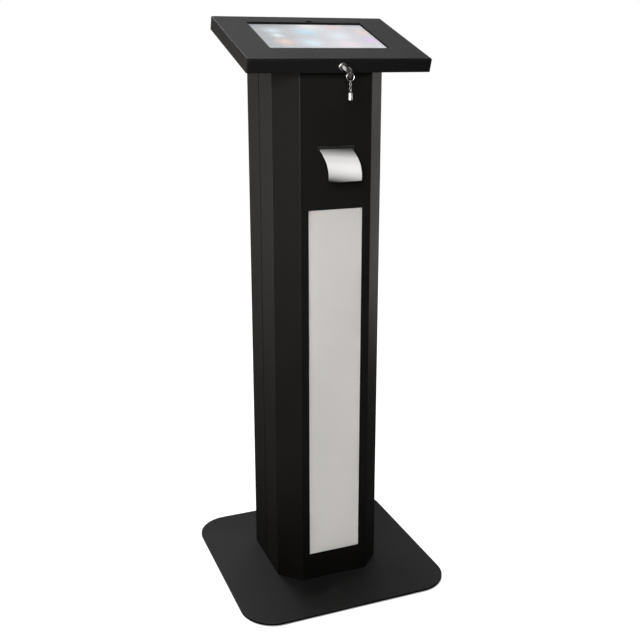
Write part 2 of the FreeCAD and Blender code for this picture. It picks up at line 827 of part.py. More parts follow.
def make_key_ring():
    ring = new_piece("key_ring")
    bend_wire(ring, 0, ring_radius, ring_wire)
    stand_at(ring, 0, ring_y, ring_top - ring_radius)

    links = [chain_link(place) for place in range(link_count)]
    chain = doc.addObject("Part::Compound", "key_chain")
    chain.Label = "key_chain"
    chain.Links = links
    pieces.append(chain)

    tag = new_piece("key_tag")
    eye_middle = chain_low + link_gap - link_inner
    neck_level = -link_inner
    low = neck_level - tag_long
    wide, inside = tag_radius, tag_radius - tag_wall
    sketch = sketch_on(tag, "XZ", as_size(0), [polygon(
        (0, low + tag_hollow), (inside, low + tag_hollow), (inside, low), (wide, low),
        (wide, neck_level - tag_shoulder), (tag_neck, neck_level), (0, neck_level))])
    turned = tag.newObject("PartDesign::Revolution", "key_tag_body")
    turned.Profile = sketch
    turned.ReferenceAxis = (sketch, ["V_Axis"])
    turned.Angle = 360
    settle(tag, turned)
    bend_wire(tag, 0, link_inner + link_wire, link_wire, 360, "H_Axis")
    stand_at(tag, 0, ring_y, eye_middle)


def stand_at(thing, x, y, z, turn=Rotation()):
    place = [as_size(value) for value in (x, y, z)]
    thing.Placement = Placement(Vector(*[value.number for value in place]), turn)
    for name, value in zip("xyz", place):
        thing.setExpression("Placement.Base." + name, value.text)


def chain_link(place):
    # An oval link: two half rings joined by two straight sides, every second one crosswise.
    link = doc.addObject("PartDesign::Body", "link_%d" % (place + 1))
    link.Label = "link_%d" % (place + 1)
    straight = link_long - link_inner * 2
    bend = link_inner + link_wire
    add(link, "XY", -straight / 2, straight / 2,
        wire_section(bend, 0, link_wire), wire_section(-bend, 0, link_wire))
    bend_wire(link, straight / 2, bend, link_wire, 180, "V_Axis", True)
    bend_wire(link, -straight / 2, bend, link_wire, 180)
    middle = link_top - (link_long - link_gap) * place - link_long / 2
    stand_at(link, 0, ring_y, middle, Rotation(Vector(0, 0, 1), 90 * ((place + 1) % 2)))
    return link


# Hinges: each has end knuckles on one leaf, a middle knuckle on the other, and a pin

def knuckle_spans(start, length):
    # The two end knuckles' spans and the middle one's, along the hinge.
    third = length / 3
    half_gap = knuckle_end / 2
    ends = [(start, start + third - half_gap), (start + length - third + half_gap, start + length)]
    return ends, (start + third + half_gap, start + length - third - half_gap)


def make_cover_hinges():
    axis_y = head_depth + knuckle_off + knuckle_radius
    axis_z = knuckle_radius - head_thick - leaf_thick
    fixed = new_piece("tray_hinge_leaves", on_head=True)
    moving = new_piece("cover_hinge_leaves", on_head=True)
    pins = new_piece("cover_hinge_pins", on_head=True)
    starts = [cover_hinge_side, -cover_hinge_side - cover_hinge_long]
    for start in starts:
        finish_x = start + cover_hinge_long
        ends, middle = knuckle_spans(start, cover_hinge_long)
        add(fixed, "YZ", start, finish_x, rectangle(head_depth - leaf_reach, -head_thick - leaf_thick,
                                                    head_depth - 1, -head_thick))
        for low, high in ends:
            add(fixed, "YZ", low, high,
                rectangle(head_depth - 2, -head_thick - leaf_thick, axis_y, -head_thick))
            add(fixed, "YZ", low, high, circle(axis_y, axis_z, knuckle_radius))
        add(moving, "YZ", start, finish_x, rectangle(head_depth, axis_z + knuckle_radius + knuckle_end,
                                                     head_depth + leaf_thick, -bend_outer - 1))
        add(moving, "YZ", *middle, rectangle(head_depth, axis_z, head_depth + leaf_thick,
                                             axis_z + knuckle_radius + knuckle_end + 1))
        add(moving, "YZ", *middle, circle(axis_y, axis_z, knuckle_radius))
        add(pins, "YZ", start, finish_x, circle(axis_y, axis_z, pin_radius))
        for leaf in (fixed, moving):
            cut(leaf, "YZ", start - 1, finish_x + 1, circle(axis_y, axis_z, pin_radius + pin_play))


def make_door_hinges():
    axis_x = half_column + knuckle_off + knuckle_radius
    axis_y = seam_place + door_gap / 2
    fixed = new_piece("column_hinge_leaves")
    moving = new_piece("door_hinge_leaves")
    pins = new_piece("door_hinge_pins")
    outer = half_column + leaf_thick
    for level in hinge_levels:
        top = level + door_hinge_long
        ends, middle = knuckle_spans(level, door_hinge_long)
        clear = knuckle_radius + knuckle_end
        add(fixed, "XY", level, top, rectangle(half_column, axis_y - leaf_reach, outer, axis_y - clear))
        for low, high in ends:
            add(fixed, "XY", low, high, rectangle(half_column, axis_y - clear - 1, outer, axis_y))
            add(fixed, "XY", low, high, circle(axis_x, axis_y, knuckle_radius))
        add(moving, "XY", level, top, rectangle(half_column, axis_y + clear, outer, axis_y + leaf_reach))
        add(moving, "XY", *middle, rectangle(half_column, axis_y + door_gap / 2, outer, axis_y + clear + 1))
        add(moving, "XY", *middle, circle(axis_x, axis_y, knuckle_radius))
        add(pins, "XY", level, top, circle(axis_x, axis_y, pin_radius))
        for leaf in (fixed, moving):
            cut(leaf, "XY", level - 1, top + 1, circle(axis_x, axis_y, pin_radius + pin_play))


# Rear door

def make_door():
    door = new_piece("rear_door")
    low = base_top + door_gap * 2
    front = seam_place + door_gap
    add(door, "XY", low, door_top, rectangle(-half_column, front, half_column, rear_face))
    soften(door, bend_outer, lambda middle, along: upright(along) and near(middle.y, rear_face))
    hollow(door, sheet_thick, lambda normal: normal.y < -0.99)
    inner = half_column - door_flange
    cut(door, "XY", low - 1, door_top + 1, rectangle(-inner, front - 1, inner, rear_face - door_flange))
    half_notch = notch_wide / 2
    cut(door, "XZ", rear_face - door_flange - 1, rear_face + 1,
        rectangle(-half_notch, low - 1, half_notch, low + notch_high))
    cut(door, "XZ", rear_face - sheet_thick - 1, rear_face + 1,
        circle(door_lock_side, door_lock_level, lock_radius + pin_play * 2))

    trim = new_piece("cable_trim")
    inside = half_notch - trim_thick
    trim_top = low + notch_high
    add(trim, "XZ", rear_face - sheet_thick - 1, rear_face + 1,
        rectangle(-half_notch, low, half_notch, trim_top))
    cut(trim, "XZ", rear_face - sheet_thick - 2, rear_face + 2,
        rectangle(-inside, low - 1, inside, trim_top - trim_thick))

    strike = new_piece("door_strike")
    post = door_lock_side - door_cam_reach - 1
    back = rear_face - lock_length + strike_reach
    outer = post - sheet_thick
    tip = door_lock_side - lock_radius - 5
    add(strike, "XY", door_lock_level - 10, door_lock_level + 10,
        polygon((outer - 10, seam_place), (post, seam_place), (post, back - sheet_thick),
                (tip, back - sheet_thick), (tip, back), (outer, back), (outer, seam_place + sheet_thick),
                (outer - 10, seam_place + sheet_thick)))


# Printer, paper and sign

def make_printer():
    chassis = new_piece("printer_chassis")
    half = cheek_gap / 2
    outer = half + cheek_thick
    back = roll_y + roll_radius + 4
    low, high = roll_z - roll_radius - 8, platen_z + platen_radius + 6
    front = inner_front + cheek_thick
    add(chassis, "YZ", -outer, -half, rectangle(inner_front, low, back, high))
    add(chassis, "YZ", half, outer, rectangle(inner_front, low, back, high))
    add(chassis, "XY", low, low + cheek_thick, rectangle(-half, inner_front, half, back))
    for turn in (-1, 1):
        near_x, far_x = outer * turn, (outer + cheek_flange) * turn
        first, second = (far_x, near_x) if turn < 0 else (near_x, far_x)
        add(chassis, "XY", low, high, rectangle(first, inner_front, second, front))
    cut(chassis, "YZ", -outer - 1, outer + 1, circle(roll_y, roll_z, spindle_radius + pin_play))
    cut(chassis, "YZ", -outer - 1, outer + 1, circle(platen_y, platen_z, platen_shaft + pin_play))
    stud_places = [((outer + cheek_flange / 2) * turn, level) for turn in (-1, 1)
                   for level in (low + 10, high - 10)]
    cut(chassis, "XZ", inner_front - 1, front + 1,
        *[circle(x, z, small_shank + bolt_play) for x, z in stud_places])

    studs = new_piece("printer_studs")
    add(studs, "XZ", inner_front, front + small_nut_high + 1,
        *[circle(x, z, small_shank) for x, z in stud_places])
    nuts = new_piece("printer_nuts")
    add(nuts, "XZ", front, front + small_nut_high,
        *[hexagon(x, z, small_nut_across) for x, z in stud_places])
    cut(nuts, "XZ", front - 1, front + small_nut_high + 1,
        *[circle(x, z, small_shank + pin_play) for x, z in stud_places])

    head = new_piece("print_head")
    add(head, "YZ", -half, half,
        rectangle(platen_y - print_half, paper_level - print_high,
                  platen_y + print_half, paper_level - rest_gap))

    bar = new_piece("tear_bar")
    bar_low = paper_level + tear_lift
    step = cheek_gap / tear_teeth
    edge = [(half, bar_low + tear_high), (-half, bar_low + tear_high)]
    for tooth in range(tear_teeth):
        edge.append((step * tooth - half, bar_low + tear_tooth))
        edge.append((step * (tooth + 0.5) - half, bar_low))
    edge.append((half, bar_low + tear_tooth))
    add(bar, "XZ", inner_front + rest_gap, inner_front + rest_gap + tear_thick, polygon(*edge))

    spindle = new_piece("roll_spindle")
    add(spindle, "YZ", -outer, outer, circle(roll_y, roll_z, spindle_radius))

    core = new_piece("paper_core")
    half_paper = paper_width / 2
    add(core, "YZ", -half_paper, half_paper, circle(roll_y, roll_z, core_radius))
    cut(core, "YZ", -half_paper - 1, half_paper + 1, circle(roll_y, roll_z, spindle_radius + pin_play))
    roll = new_piece("paper_roll")
    add(roll, "YZ", -half_paper, half_paper, circle(roll_y, roll_z, roll_radius))
    cut(roll, "YZ", -half_paper - 1, half_paper + 1, circle(roll_y, roll_z, core_radius))

    platen = new_piece("platen_roller")
    add(platen, "YZ", -half_paper - 2, half_paper + 2, circle(platen_y, platen_z, platen_radius))
    cut(platen, "YZ", -half_paper - 3, half_paper + 3, circle(platen_y, platen_z, platen_shaft))
    shaft = new_piece("platen_shaft")
    add(shaft, "YZ", -outer - 1, outer + 1, circle(platen_y, platen_z, platen_shaft))

    strip = new_piece("paper_strip")
    add(strip, "XY", paper_level, paper_level + paper_thick,
        rectangle(-half_paper, curl_y, half_paper, roll_y))
    # the free end curls over in two arcs, the second one tighter
    bend_paper(strip, curl_y, paper_level - curl_radius, curl_radius, as_size(0), curl_angle)
    shift = curl_radius - tip_radius
    tip_y = curl_y - shift * sine(curl_angle)
    tip_z = paper_level - curl_radius + shift * cosine(curl_angle)
    bend_paper(strip, tip_y, tip_z, tip_radius, curl_angle, tip_angle)
    # and is torn off a little askew
    low = tip_z - tip_radius
    fall = tip_z + tip_radius * cosine(curl_angle + tip_angle)
    cut(strip, "XZ", curl_y - curl_radius - 1, front_face - 1,
        polygon((-half_paper - 1, low), (half_paper + 1, low), (half_paper + 1, fall + tip_slant),
                (-half_paper - 1, fall)))


def bend_paper(strip, y, z, radius, turn, angle):
    # An arc of paper about a level axis at the given depth and height, from the given turn on.
    half_paper = paper_width / 2
    sketch = sketch_on(strip, "XZ", -y, [rectangle(-half_paper, radius, half_paper, radius + paper_thick)])
    sketch.AttachmentOffset = Placement(Vector(0, z.number, -y.number), Rotation(Vector(1, 0, 0), turn.number))
    sketch.setExpression("AttachmentOffset.Base.y", z.text)
    sketch.setExpression("AttachmentOffset.Rotation.Angle", turn.text)
    curl = strip.newObject("PartDesign::Revolution", "paper_curl")
    curl.Profile = sketch
    curl.ReferenceAxis = (sketch, ["H_Axis"])
    curl.Angle = angle.number
    curl.setExpression("Angle", angle.text)
    return settle(strip, curl)


def make_sign():
    half = sign_width / 2 + sign_lap
    low, high = sign_bottom - sign_lap, sign_top + sign_lap
    front = inner_front
    for label, thick in (("sign_cover", cover_sheet), ("sign_insert", print_sheet),
                         ("sign_backing", backing_sheet)):
        layer = new_piece(label)
        add(layer, "XZ", front, front + thick, rectangle(-half, low, half, high))
        front = front + thick

    frame = new_piece("sign_frame")
    lip_back = front + frame_wall
    add(frame, "XZ", inner_front, lip_back, rectangle(-half - frame_wall, low - frame_wall,
                                                      half + frame_wall, high))
    cut(frame, "XZ", inner_front - 1, front, rectangle(-half, low, half, high + 1))
    cut(frame, "XZ", front - 1, lip_back + 1, rectangle(-half + frame_lip, low + frame_lip,
                                                        half - frame_lip, high + 1))


def finish():
    doc.recompute()
    for item in doc.Objects:
        if "Invalid" in item.State or "Error" in item.State:
            raise RuntimeError("%s failed: %s" % (item.Label, item.State))
    for item in pieces:
        if item.Shape.isNull() or not item.Shape.isValid():
            raise RuntimeError("%s has no valid shape" % item.Label)
    for item in pieces:
        item.Shape.exportStep("parts/%s.step" % item.Label)
        box = item.Shape.BoundBox
        print("%-22s %3d solids %10.1f mm3  x %.1f..%.1f  y %.1f..%.1f  z %.1f..%.1f" % (
            item.Label, len(item.Shape.Solids), item.Shape.Volume,
            box.XMin, box.XMax, box.YMin, box.YMax, box.ZMin, box.ZMax))


make_foot()
make_column()
make_neck()
make_tray()
make_tablet()
make_cover()
cam_lock("", True, as_size(0), -lock_drop, as_size(0), -1, cam_reach, (0, -1))
make_key()
make_key_ring()
make_cover_hinges()
make_door()
make_door_hinges()
cam_lock("door_", False, door_lock_side, door_lock_level, rear_face, 1, door_cam_reach, (0, -1))
make_printer()
make_sign()
finish()
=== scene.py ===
import math

import bmesh
import bpy
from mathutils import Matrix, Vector


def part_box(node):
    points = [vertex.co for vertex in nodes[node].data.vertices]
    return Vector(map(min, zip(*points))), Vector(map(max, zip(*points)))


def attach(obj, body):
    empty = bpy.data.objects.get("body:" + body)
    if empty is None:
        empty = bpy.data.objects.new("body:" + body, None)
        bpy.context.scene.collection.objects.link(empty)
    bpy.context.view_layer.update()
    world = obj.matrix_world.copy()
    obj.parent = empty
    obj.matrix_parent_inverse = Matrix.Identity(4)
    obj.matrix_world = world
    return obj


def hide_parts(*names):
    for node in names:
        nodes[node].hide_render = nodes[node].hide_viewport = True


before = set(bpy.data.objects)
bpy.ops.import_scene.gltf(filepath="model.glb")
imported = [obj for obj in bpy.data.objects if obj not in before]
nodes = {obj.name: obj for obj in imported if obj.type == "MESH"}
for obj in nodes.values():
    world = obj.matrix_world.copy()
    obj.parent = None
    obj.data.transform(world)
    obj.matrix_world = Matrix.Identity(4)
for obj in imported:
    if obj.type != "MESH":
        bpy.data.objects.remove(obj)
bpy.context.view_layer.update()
scene = bpy.context.scene
print("frame loaded:", len(nodes), "nodes")


# The tilted head: its angle in degrees, and where its top face begins at the front, in metres
headPlace = {"tilt": 19.0, "front": -0.1225, "level": 0.963}


def onHead(across, slope, out):
    # a place across the head, up its slope, and out of its top face
    tilt = math.radians(headPlace["tilt"])
    y = headPlace["front"] + slope * math.cos(tilt) - out * math.sin(tilt)
    z = headPlace["level"] + slope * math.sin(tilt) + out * math.cos(tilt)
    return Vector((across, y, z))


# Building blocks for node trees

def grey(level):
    return (level, level, level, 1)


def feed(tree, socket, source):
    # a source is another node's output, or a plain value
    if isinstance(source, bpy.types.NodeSocket):
        tree.links.new(source, socket)
    else:
        socket.default_value = source


def feedAll(tree, node, sources):
    for label, source in sources.items():
        feed(tree, node.inputs[label], source)


def putNode(tree, kind, sources=None, **settings):
    # the sources feed the node's inputs, by name or by number
    node = tree.nodes.new(kind)
    for name, value in settings.items():
        setattr(node, name, value)
    feedAll(tree, node, sources or {})
    return node


def calc(tree, operation, first, second=0.0):
    return putNode(tree, "ShaderNodeMath", {0: first, 1: second}, operation=operation).outputs[0]


def span(tree, value, low, high, newLow=0.0, newHigh=1.0):
    sources = {0: value, 1: low, 2: high, 3: newLow, 4: newHigh}
    return putNode(tree, "ShaderNodeMapRange", sources).outputs[0]


noiseReach = {"low": 0.3, "high": 0.7}


def spread(tree, value, newLow=0.0, newHigh=1.0):
    # spreads what a noise mostly gives over a new range
    return span(tree, value, noiseReach["low"], noiseReach["high"], newLow, newHigh)


def blendColour(tree, share, first, second):
    # the colours of a mix node are its inputs 6 and 7, and the mixed one is its output 2
    sources = {0: share, 6: first, 7: second}
    return putNode(tree, "ShaderNodeMix", sources, data_type="RGBA").outputs[2]


def noise(tree, place, scale, detail=2.0, rough=0.5):
    sources = {"Vector": place, "Scale": scale, "Detail": detail, "Roughness": rough}
    return putNode(tree, "ShaderNodeTexNoise", sources).outputs["Fac"]


def stretch(tree, place, scale, turn=(0, 0, 0)):
    sources = {"Vector": place, "Rotation": [math.radians(angle) for angle in turn], "Scale": scale}
    return putNode(tree, "ShaderNodeMapping", sources).outputs[0]


def objectPlace(tree):
    return putNode(tree, "ShaderNodeTexCoord").outputs["Object"]


def measure(tree, operation, place, other):
    # one number from two vectors, such as how far they are apart
    sources = {0: place, 1: other}
    return putNode(tree, "ShaderNodeVectorMath", sources, operation=operation).outputs["Value"]


def sidesOf(tree, place):
    return putNode(tree, "ShaderNodeSeparateXYZ", {0: place}).outputs


socketKinds = {"value": "NodeSocketFloat", "colour": "NodeSocketColor",
               "vector": "NodeSocketVector", "count": "NodeSocketInt",
               "geometry": "NodeSocketGeometry", "material": "NodeSocketMaterial"}


def makeTree(treeKind, name, inputs, outputs):
    # an input is its name, its kind and, where it has one, its start value
    tree = bpy.data.node_groups.new(name, treeKind)
    for label, kind, *start in inputs:
        socket = tree.interface.new_socket(label, in_out="INPUT", socket_type=socketKinds[kind])
        if start:
            socket.default_value = start[0]
    for label, kind in outputs:
        tree.interface.new_socket(label, in_out="OUTPUT", socket_type=socketKinds[kind])
    given = tree.nodes.new("NodeGroupInput").outputs
    made = tree.nodes.new("NodeGroupOutput").inputs
    return tree, given, made


# Effects that several materials share

surfaceOutputs = [("Colour", "colour"), ("Roughness", "value"), ("Height", "value")]

powder = {"cloudScale": 7.0, "cloudTone": (0.12, 0.12, 0.122, 1), "cloudRough": (-0.03, 0.03),
          "speckScale": 900.0, "speckFrom": 0.74, "speckFull": 0.8,
          "speckTone": (0.2, 0.2, 0.195, 1), "peelRough": (-0.05, 0.06)}


def powderCoatGroup():
    # baked powder: fine orange peel, a slow drift of tone, a few pale specks of dust
    tree, given, made = makeTree("ShaderNodeTree", "powderCoat", [
        ("Place", "vector"), ("Tone", "colour", grey(0.02)), ("Grain Size", "value", 0.0009),
        ("Drift", "value", 0.12), ("Dust", "value", 0.3), ("Gloss", "value", 0.45)],
        surfaceOutputs)
    grainScale = calc(tree, "DIVIDE", 1.0, given["Grain Size"])
    peel = noise(tree, given["Place"], grainScale, detail=3.0, rough=0.55)
    cloud = noise(tree, given["Place"], powder["cloudScale"], detail=3.0, rough=0.6)
    specks = noise(tree, given["Place"], powder["speckScale"], detail=1.0, rough=0.4)
    drift = calc(tree, "MULTIPLY", spread(tree, cloud), given["Drift"])
    paler = blendColour(tree, drift, given["Tone"], powder["cloudTone"])
    dust = calc(tree, "MULTIPLY", span(tree, specks, powder["speckFrom"], powder["speckFull"]),
                given["Dust"])
    rough = calc(tree, "ADD", given["Gloss"], spread(tree, peel, *powder["peelRough"]))
    feed(tree, made["Colour"], blendColour(tree, dust, paler, powder["speckTone"]))
    feed(tree, made["Roughness"],
         calc(tree, "ADD", rough, spread(tree, cloud, *powder["cloudRough"])))
    feed(tree, made["Height"], peel)
    return tree


drawn = {"cloudScale": 40.0, "dullFrom": 0.4, "dullFull": 0.7, "dullTone": (0.28, 0.27, 0.25, 1),
         "dullRough": 0.2, "streakTone": grey(0.2), "streakShare": 0.18,
         "streakRough": (-0.06, 0.09)}


def drawnMetalGroup():
    # plated or drawn metal: streaks along one way, dull clouds
    tree, given, made = makeTree("ShaderNodeTree", "drawnMetal", [
        ("Place", "vector"), ("Tone", "colour", grey(0.6)),
        ("Streaks", "vector", (400.0, 400.0, 12.0)), ("Wear", "value", 0.3),
        ("Gloss", "value", 0.28)], surfaceOutputs)
    streakPlace = stretch(tree, given["Place"], given["Streaks"])
    streak = noise(tree, streakPlace, 1.0, detail=3.0, rough=0.6)
    cloud = noise(tree, given["Place"], drawn["cloudScale"], detail=3.0, rough=0.6)
    dull = calc(tree, "MULTIPLY", span(tree, cloud, drawn["dullFrom"], drawn["dullFull"]),
                given["Wear"])
    worn = blendColour(tree, dull, given["Tone"], drawn["dullTone"])
    streaks = spread(tree, streak, 0.0, drawn["streakShare"])
    rough = calc(tree, "ADD", given["Gloss"], spread(tree, streak, *drawn["streakRough"]))
    feed(tree, made["Colour"], blendColour(tree, streaks, worn, drawn["streakTone"]))
    feed(tree, made["Roughness"],
         calc(tree, "ADD", rough, calc(tree, "MULTIPLY", dull, drawn["dullRough"])))
    feed(tree, made["Height"], streak)
    return tree


moulded = {"rubScale": 60.0, "rubFrom": 0.5, "rubFull": 0.75, "rubTone": grey(0.13),
           "rubShine": 0.3}


def mouldedGroup():
    # spark-eroded mould texture, with rub marks
    tree, given, made = makeTree("ShaderNodeTree", "mouldedGrain", [
        ("Place", "vector"), ("Tone", "colour", grey(0.02)), ("Grain Size", "value", 0.0005),
        ("Rub", "value", 0.2), ("Gloss", "value", 0.55)], surfaceOutputs)
    grainScale = calc(tree, "DIVIDE", 1.0, given["Grain Size"])
    pits = putNode(tree, "ShaderNodeTexVoronoi", {"Vector": given["Place"], "Scale": grainScale},
                   feature="F1")
    marks = noise(tree, given["Place"], moulded["rubScale"], detail=4.0, rough=0.65)
    rub = calc(tree, "MULTIPLY", span(tree, marks, moulded["rubFrom"], moulded["rubFull"]),
               given["Rub"])
    shine = calc(tree, "MULTIPLY", rub, moulded["rubShine"])
    feed(tree, made["Colour"], blendColour(tree, rub, given["Tone"], moulded["rubTone"]))
    feed(tree, made["Roughness"], calc(tree, "SUBTRACT", given["Gloss"], shine))
    feed(tree, made["Height"], pits.outputs["Distance"])
    return tree


paper = {"fibreTone": (0.5, 0.49, 0.47, 1), "fibreRough": (-0.05, 0.05), "cockleScale": 14.0,
         "cockleHeight": 3.0}


def paperGroup():
    # paper: short fibres and a slight cockle
    tree, given, made = makeTree("ShaderNodeTree", "paperFibre", [
        ("Place", "vector"), ("Tone", "colour", (0.8, 0.8, 0.78, 1)),
        ("Fibre Size", "value", 0.0008), ("Mottle", "value", 0.06), ("Gloss", "value", 0.6)],
        surfaceOutputs)
    fibreScale = calc(tree, "DIVIDE", 1.0, given["Fibre Size"])
    fibre = noise(tree, given["Place"], fibreScale, detail=4.0, rough=0.7)
    cockle = noise(tree, given["Place"], paper["cockleScale"])
    mottle = calc(tree, "MULTIPLY", spread(tree, fibre), given["Mottle"])
    waves = calc(tree, "MULTIPLY", cockle, paper["cockleHeight"])
    feed(tree, made["Colour"], blendColour(tree, mottle, given["Tone"], paper["fibreTone"]))
    feed(tree, made["Roughness"],
         calc(tree, "ADD", given["Gloss"], spread(tree, fibre, *paper["fibreRough"])))
    feed(tree, made["Height"], calc(tree, "ADD", fibre, waves))
    return tree


def paintedShadeGroup():
    # painted shade: a tone that sinks towards black along one way
    tree, given, made = makeTree("ShaderNodeTree", "paintedShadeFade", [
        ("Colour", "colour", grey(1)), ("Along", "value", 0.0), ("Start", "value", 0.0),
        ("End", "value", 1.0), ("Depth", "value", 0.5), ("Bend", "value", 1.0)],
        [("Colour", "colour")])
    reached = span(tree, given["Along"], given["Start"], given["End"])
    share = calc(tree, "MULTIPLY", calc(tree, "POWER", reached, given["Bend"]), given["Depth"])
    feed(tree, made["Colour"], blendColour(tree, share, given["Colour"], grey(0.0)))
    return tree


groups = {"powder": powderCoatGroup(), "drawn": drawnMetalGroup(), "moulded": mouldedGroup(),
          "paper": paperGroup(), "paintedShade": paintedShadeGroup()}


# Materials

def newMaterial(name):
    material = bpy.data.materials.new(name)
    material.use_nodes = True
    tree = material.node_tree
    return material, tree, tree.nodes["Principled BSDF"], objectPlace(tree)


def finishWith(name, kind, strength, relief, metallic=0.0, specular=0.5, **values):
    # one material from one of the groups above; its bump has a strength and a relief in metres
    material, tree, shader, place = newMaterial(name)
    sources = {label.replace("_", " "): value for label, value in values.items()}
    group = putNode(tree, "ShaderNodeGroup", {"Place": place, **sources}, node_tree=groups[kind])
    bump = putNode(tree, "ShaderNodeBump", {
        "Strength": strength, "Distance": relief, "Height": group.outputs["Height"]})
    feedAll(tree, shader, {
        "Base Color": group.outputs["Colour"], "Roughness": group.outputs["Roughness"],
        "Metallic": metallic, "Specular IOR Level": specular, "Normal": bump.outputs["Normal"]})
    return material


def paintShadeInTone(material, way, start, end, depth, bend=1.0):
    # paints shade into the tone of a finished material, sinking along a way through the piece
    tree = material.node_tree
    base = tree.nodes["Principled BSDF"].inputs["Base Color"]
    paintedShade = putNode(tree, "ShaderNodeGroup", {
        "Colour": base.links[0].from_socket,
        "Along": measure(tree, "DOT_PRODUCT", objectPlace(tree), way),
        "Start": start, "End": end, "Depth": depth, "Bend": bend}, node_tree=groups["paintedShade"])
    feed(tree, base, paintedShade.outputs["Colour"])


def paintShadeOnShine(material, way, start, end, low, centre=None):
    # paints shade into the shine of a paint, sinking along a way, or towards a centre from both
    # sides
    tree = material.node_tree
    level = tree.nodes["Principled BSDF"].inputs["Specular IOR Level"]
    along = measure(tree, "DOT_PRODUCT", objectPlace(tree), way)
    if centre is not None:
        along = calc(tree, "ABSOLUTE", calc(tree, "SUBTRACT", along, centre))
    before = level.links[0].from_socket if level.is_linked else level.default_value
    feed(tree, level, calc(tree, "MULTIPLY", before, span(tree, along, start, end, 1.0, low)))


columnPaint = finishWith(
    "columnPaint", "powder", strength=0.3, relief=0.00015, specular=0.145,
    Tone=(0.0030, 0.0027, 0.0024, 1), Grain_Size=0.0011, Drift=0.008, Dust=0.05, Gloss=0.48)
# painted shade: the shine is dimmed beside the seam between front and door, and shine and tone sink
# near the foot
paintShadeOnShine(columnPaint, way=(0, 1, 0), start=0.0022, end=0.0007, low=0.07, centre=0.0145)
paintShadeOnShine(columnPaint, way=(0, 0, 1), start=0.2, end=0.02, low=0.45)
paintShadeInTone(columnPaint, way=(0, 0, 1), start=0.2, end=0.02, depth=0.55)
headPaint = finishWith(
    "headPaint", "powder", strength=0.3, relief=0.00015, specular=0.16,
    Tone=(0.0028, 0.0028, 0.003, 1), Grain_Size=0.0011, Drift=0.004, Dust=0.05, Gloss=0.59)
footPaint = finishWith(
    "footPaint", "powder", strength=0.35, relief=0.00015, specular=0.27,
    Tone=grey(0.0055), Grain_Size=0.0012, Drift=0.02, Dust=0.08, Gloss=0.5)
# the plate's edge is in its own shade below its top face
paintShadeOnShine(footPaint, way=(0, 0, 1), start=0.0046, end=0.0038, low=0.08)
paintShadeInTone(footPaint, way=(0, 0, 1), start=0.0046, end=0.0038, depth=0.9)
zincPlate = finishWith(
    "zincPlate", "drawn", strength=0.15, relief=0.0001, metallic=1.0,
    Tone=(0.62, 0.62, 0.6, 1), Streaks=(300.0, 300.0, 40.0), Wear=0.35, Gloss=0.32)
lockChrome = finishWith(
    "lockChrome", "drawn", strength=0.04, relief=0.0001, metallic=1.0,
    Tone=grey(0.9), Streaks=(900.0, 900.0, 900.0), Wear=0.05, Gloss=0.18)
plugSteel = finishWith(
    "plugSteel", "drawn", strength=0.08, relief=0.0001, metallic=1.0,
    Tone=grey(0.2), Streaks=(900.0, 900.0, 900.0), Wear=0.1, Gloss=0.2)
ringSteel = finishWith(
    "ringSteel", "drawn", strength=0.06, relief=0.0001, metallic=1.0,
    Tone=grey(0.9), Streaks=(500.0, 500.0, 500.0), Wear=0.05, Gloss=0.33)
chainSteel = finishWith(
    "chainSteel", "drawn", strength=0.1, relief=0.0001, metallic=1.0,
    Tone=grey(0.24), Streaks=(500.0, 500.0, 500.0), Wear=0.2, Gloss=0.35)
keyNickel = finishWith(
    "keyNickel", "drawn", strength=0.1, relief=0.0001, metallic=0.35,
    Tone=(0.96, 0.95, 0.93, 1), Streaks=(900.0, 60.0, 900.0), Wear=0.05, Gloss=0.42)
# painted shade: the key is bright where it leaves the lock, and dim further out
paintShadeInTone(keyNickel, way=(0, 1, 0), start=-0.131, end=-0.136, depth=0.93)
tearSteel = finishWith(
    "tearSteel", "drawn", strength=0.1, relief=0.0001, metallic=1.0,
    Tone=grey(0.13), Streaks=(20.0, 600.0, 600.0), Wear=0.1, Gloss=0.3)
footRubber = finishWith(
    "footRubber", "moulded", strength=0.3, relief=0.0002, specular=0.3,
    Tone=grey(0.018), Grain_Size=0.0009, Rub=0.4, Gloss=0.8)
rollerRubber = finishWith(
    "rollerRubber", "moulded", strength=0.15, relief=0.0001, specular=0.35,
    Tone=grey(0.03), Grain_Size=0.0004, Rub=0.25, Gloss=0.6)
gasketFoam = finishWith(
    "gasketFoam", "moulded", strength=0.6, relief=0.0003, specular=0.2,
    Tone=grey(0.003), Grain_Size=0.0006, Rub=0.02, Gloss=0.9)
blackPlastic = finishWith(
    "blackPlastic", "moulded", strength=0.2, relief=0.0001,
    Tone=(0.014, 0.014, 0.015, 1), Grain_Size=0.0006, Rub=0.2, Gloss=0.55)
tabletShell = finishWith(
    "tabletShell", "moulded", strength=0.1, relief=0.0001,
    Tone=(0.02, 0.02, 0.022, 1), Grain_Size=0.0004, Rub=0.1, Gloss=0.45)
foamBoard = finishWith(
    "foamBoard", "paper", strength=0.2, relief=0.0002,
    Tone=(0.6, 0.6, 0.58, 1), Fibre_Size=0.0012, Mottle=0.1, Gloss=0.7)
coreBoard = finishWith(
    "coreBoard", "paper", strength=0.4, relief=0.0002,
    Tone=(0.36, 0.26, 0.16, 1), Fibre_Size=0.0015, Mottle=0.3, Gloss=0.8)
receiptPaper = finishWith(
    "receiptPaper", "paper", strength=0.1, relief=0.0001, specular=0.4,
    Tone=(0.655, 0.655, 0.65, 1), Fibre_Size=0.0007, Mottle=0.04, Gloss=0.5)
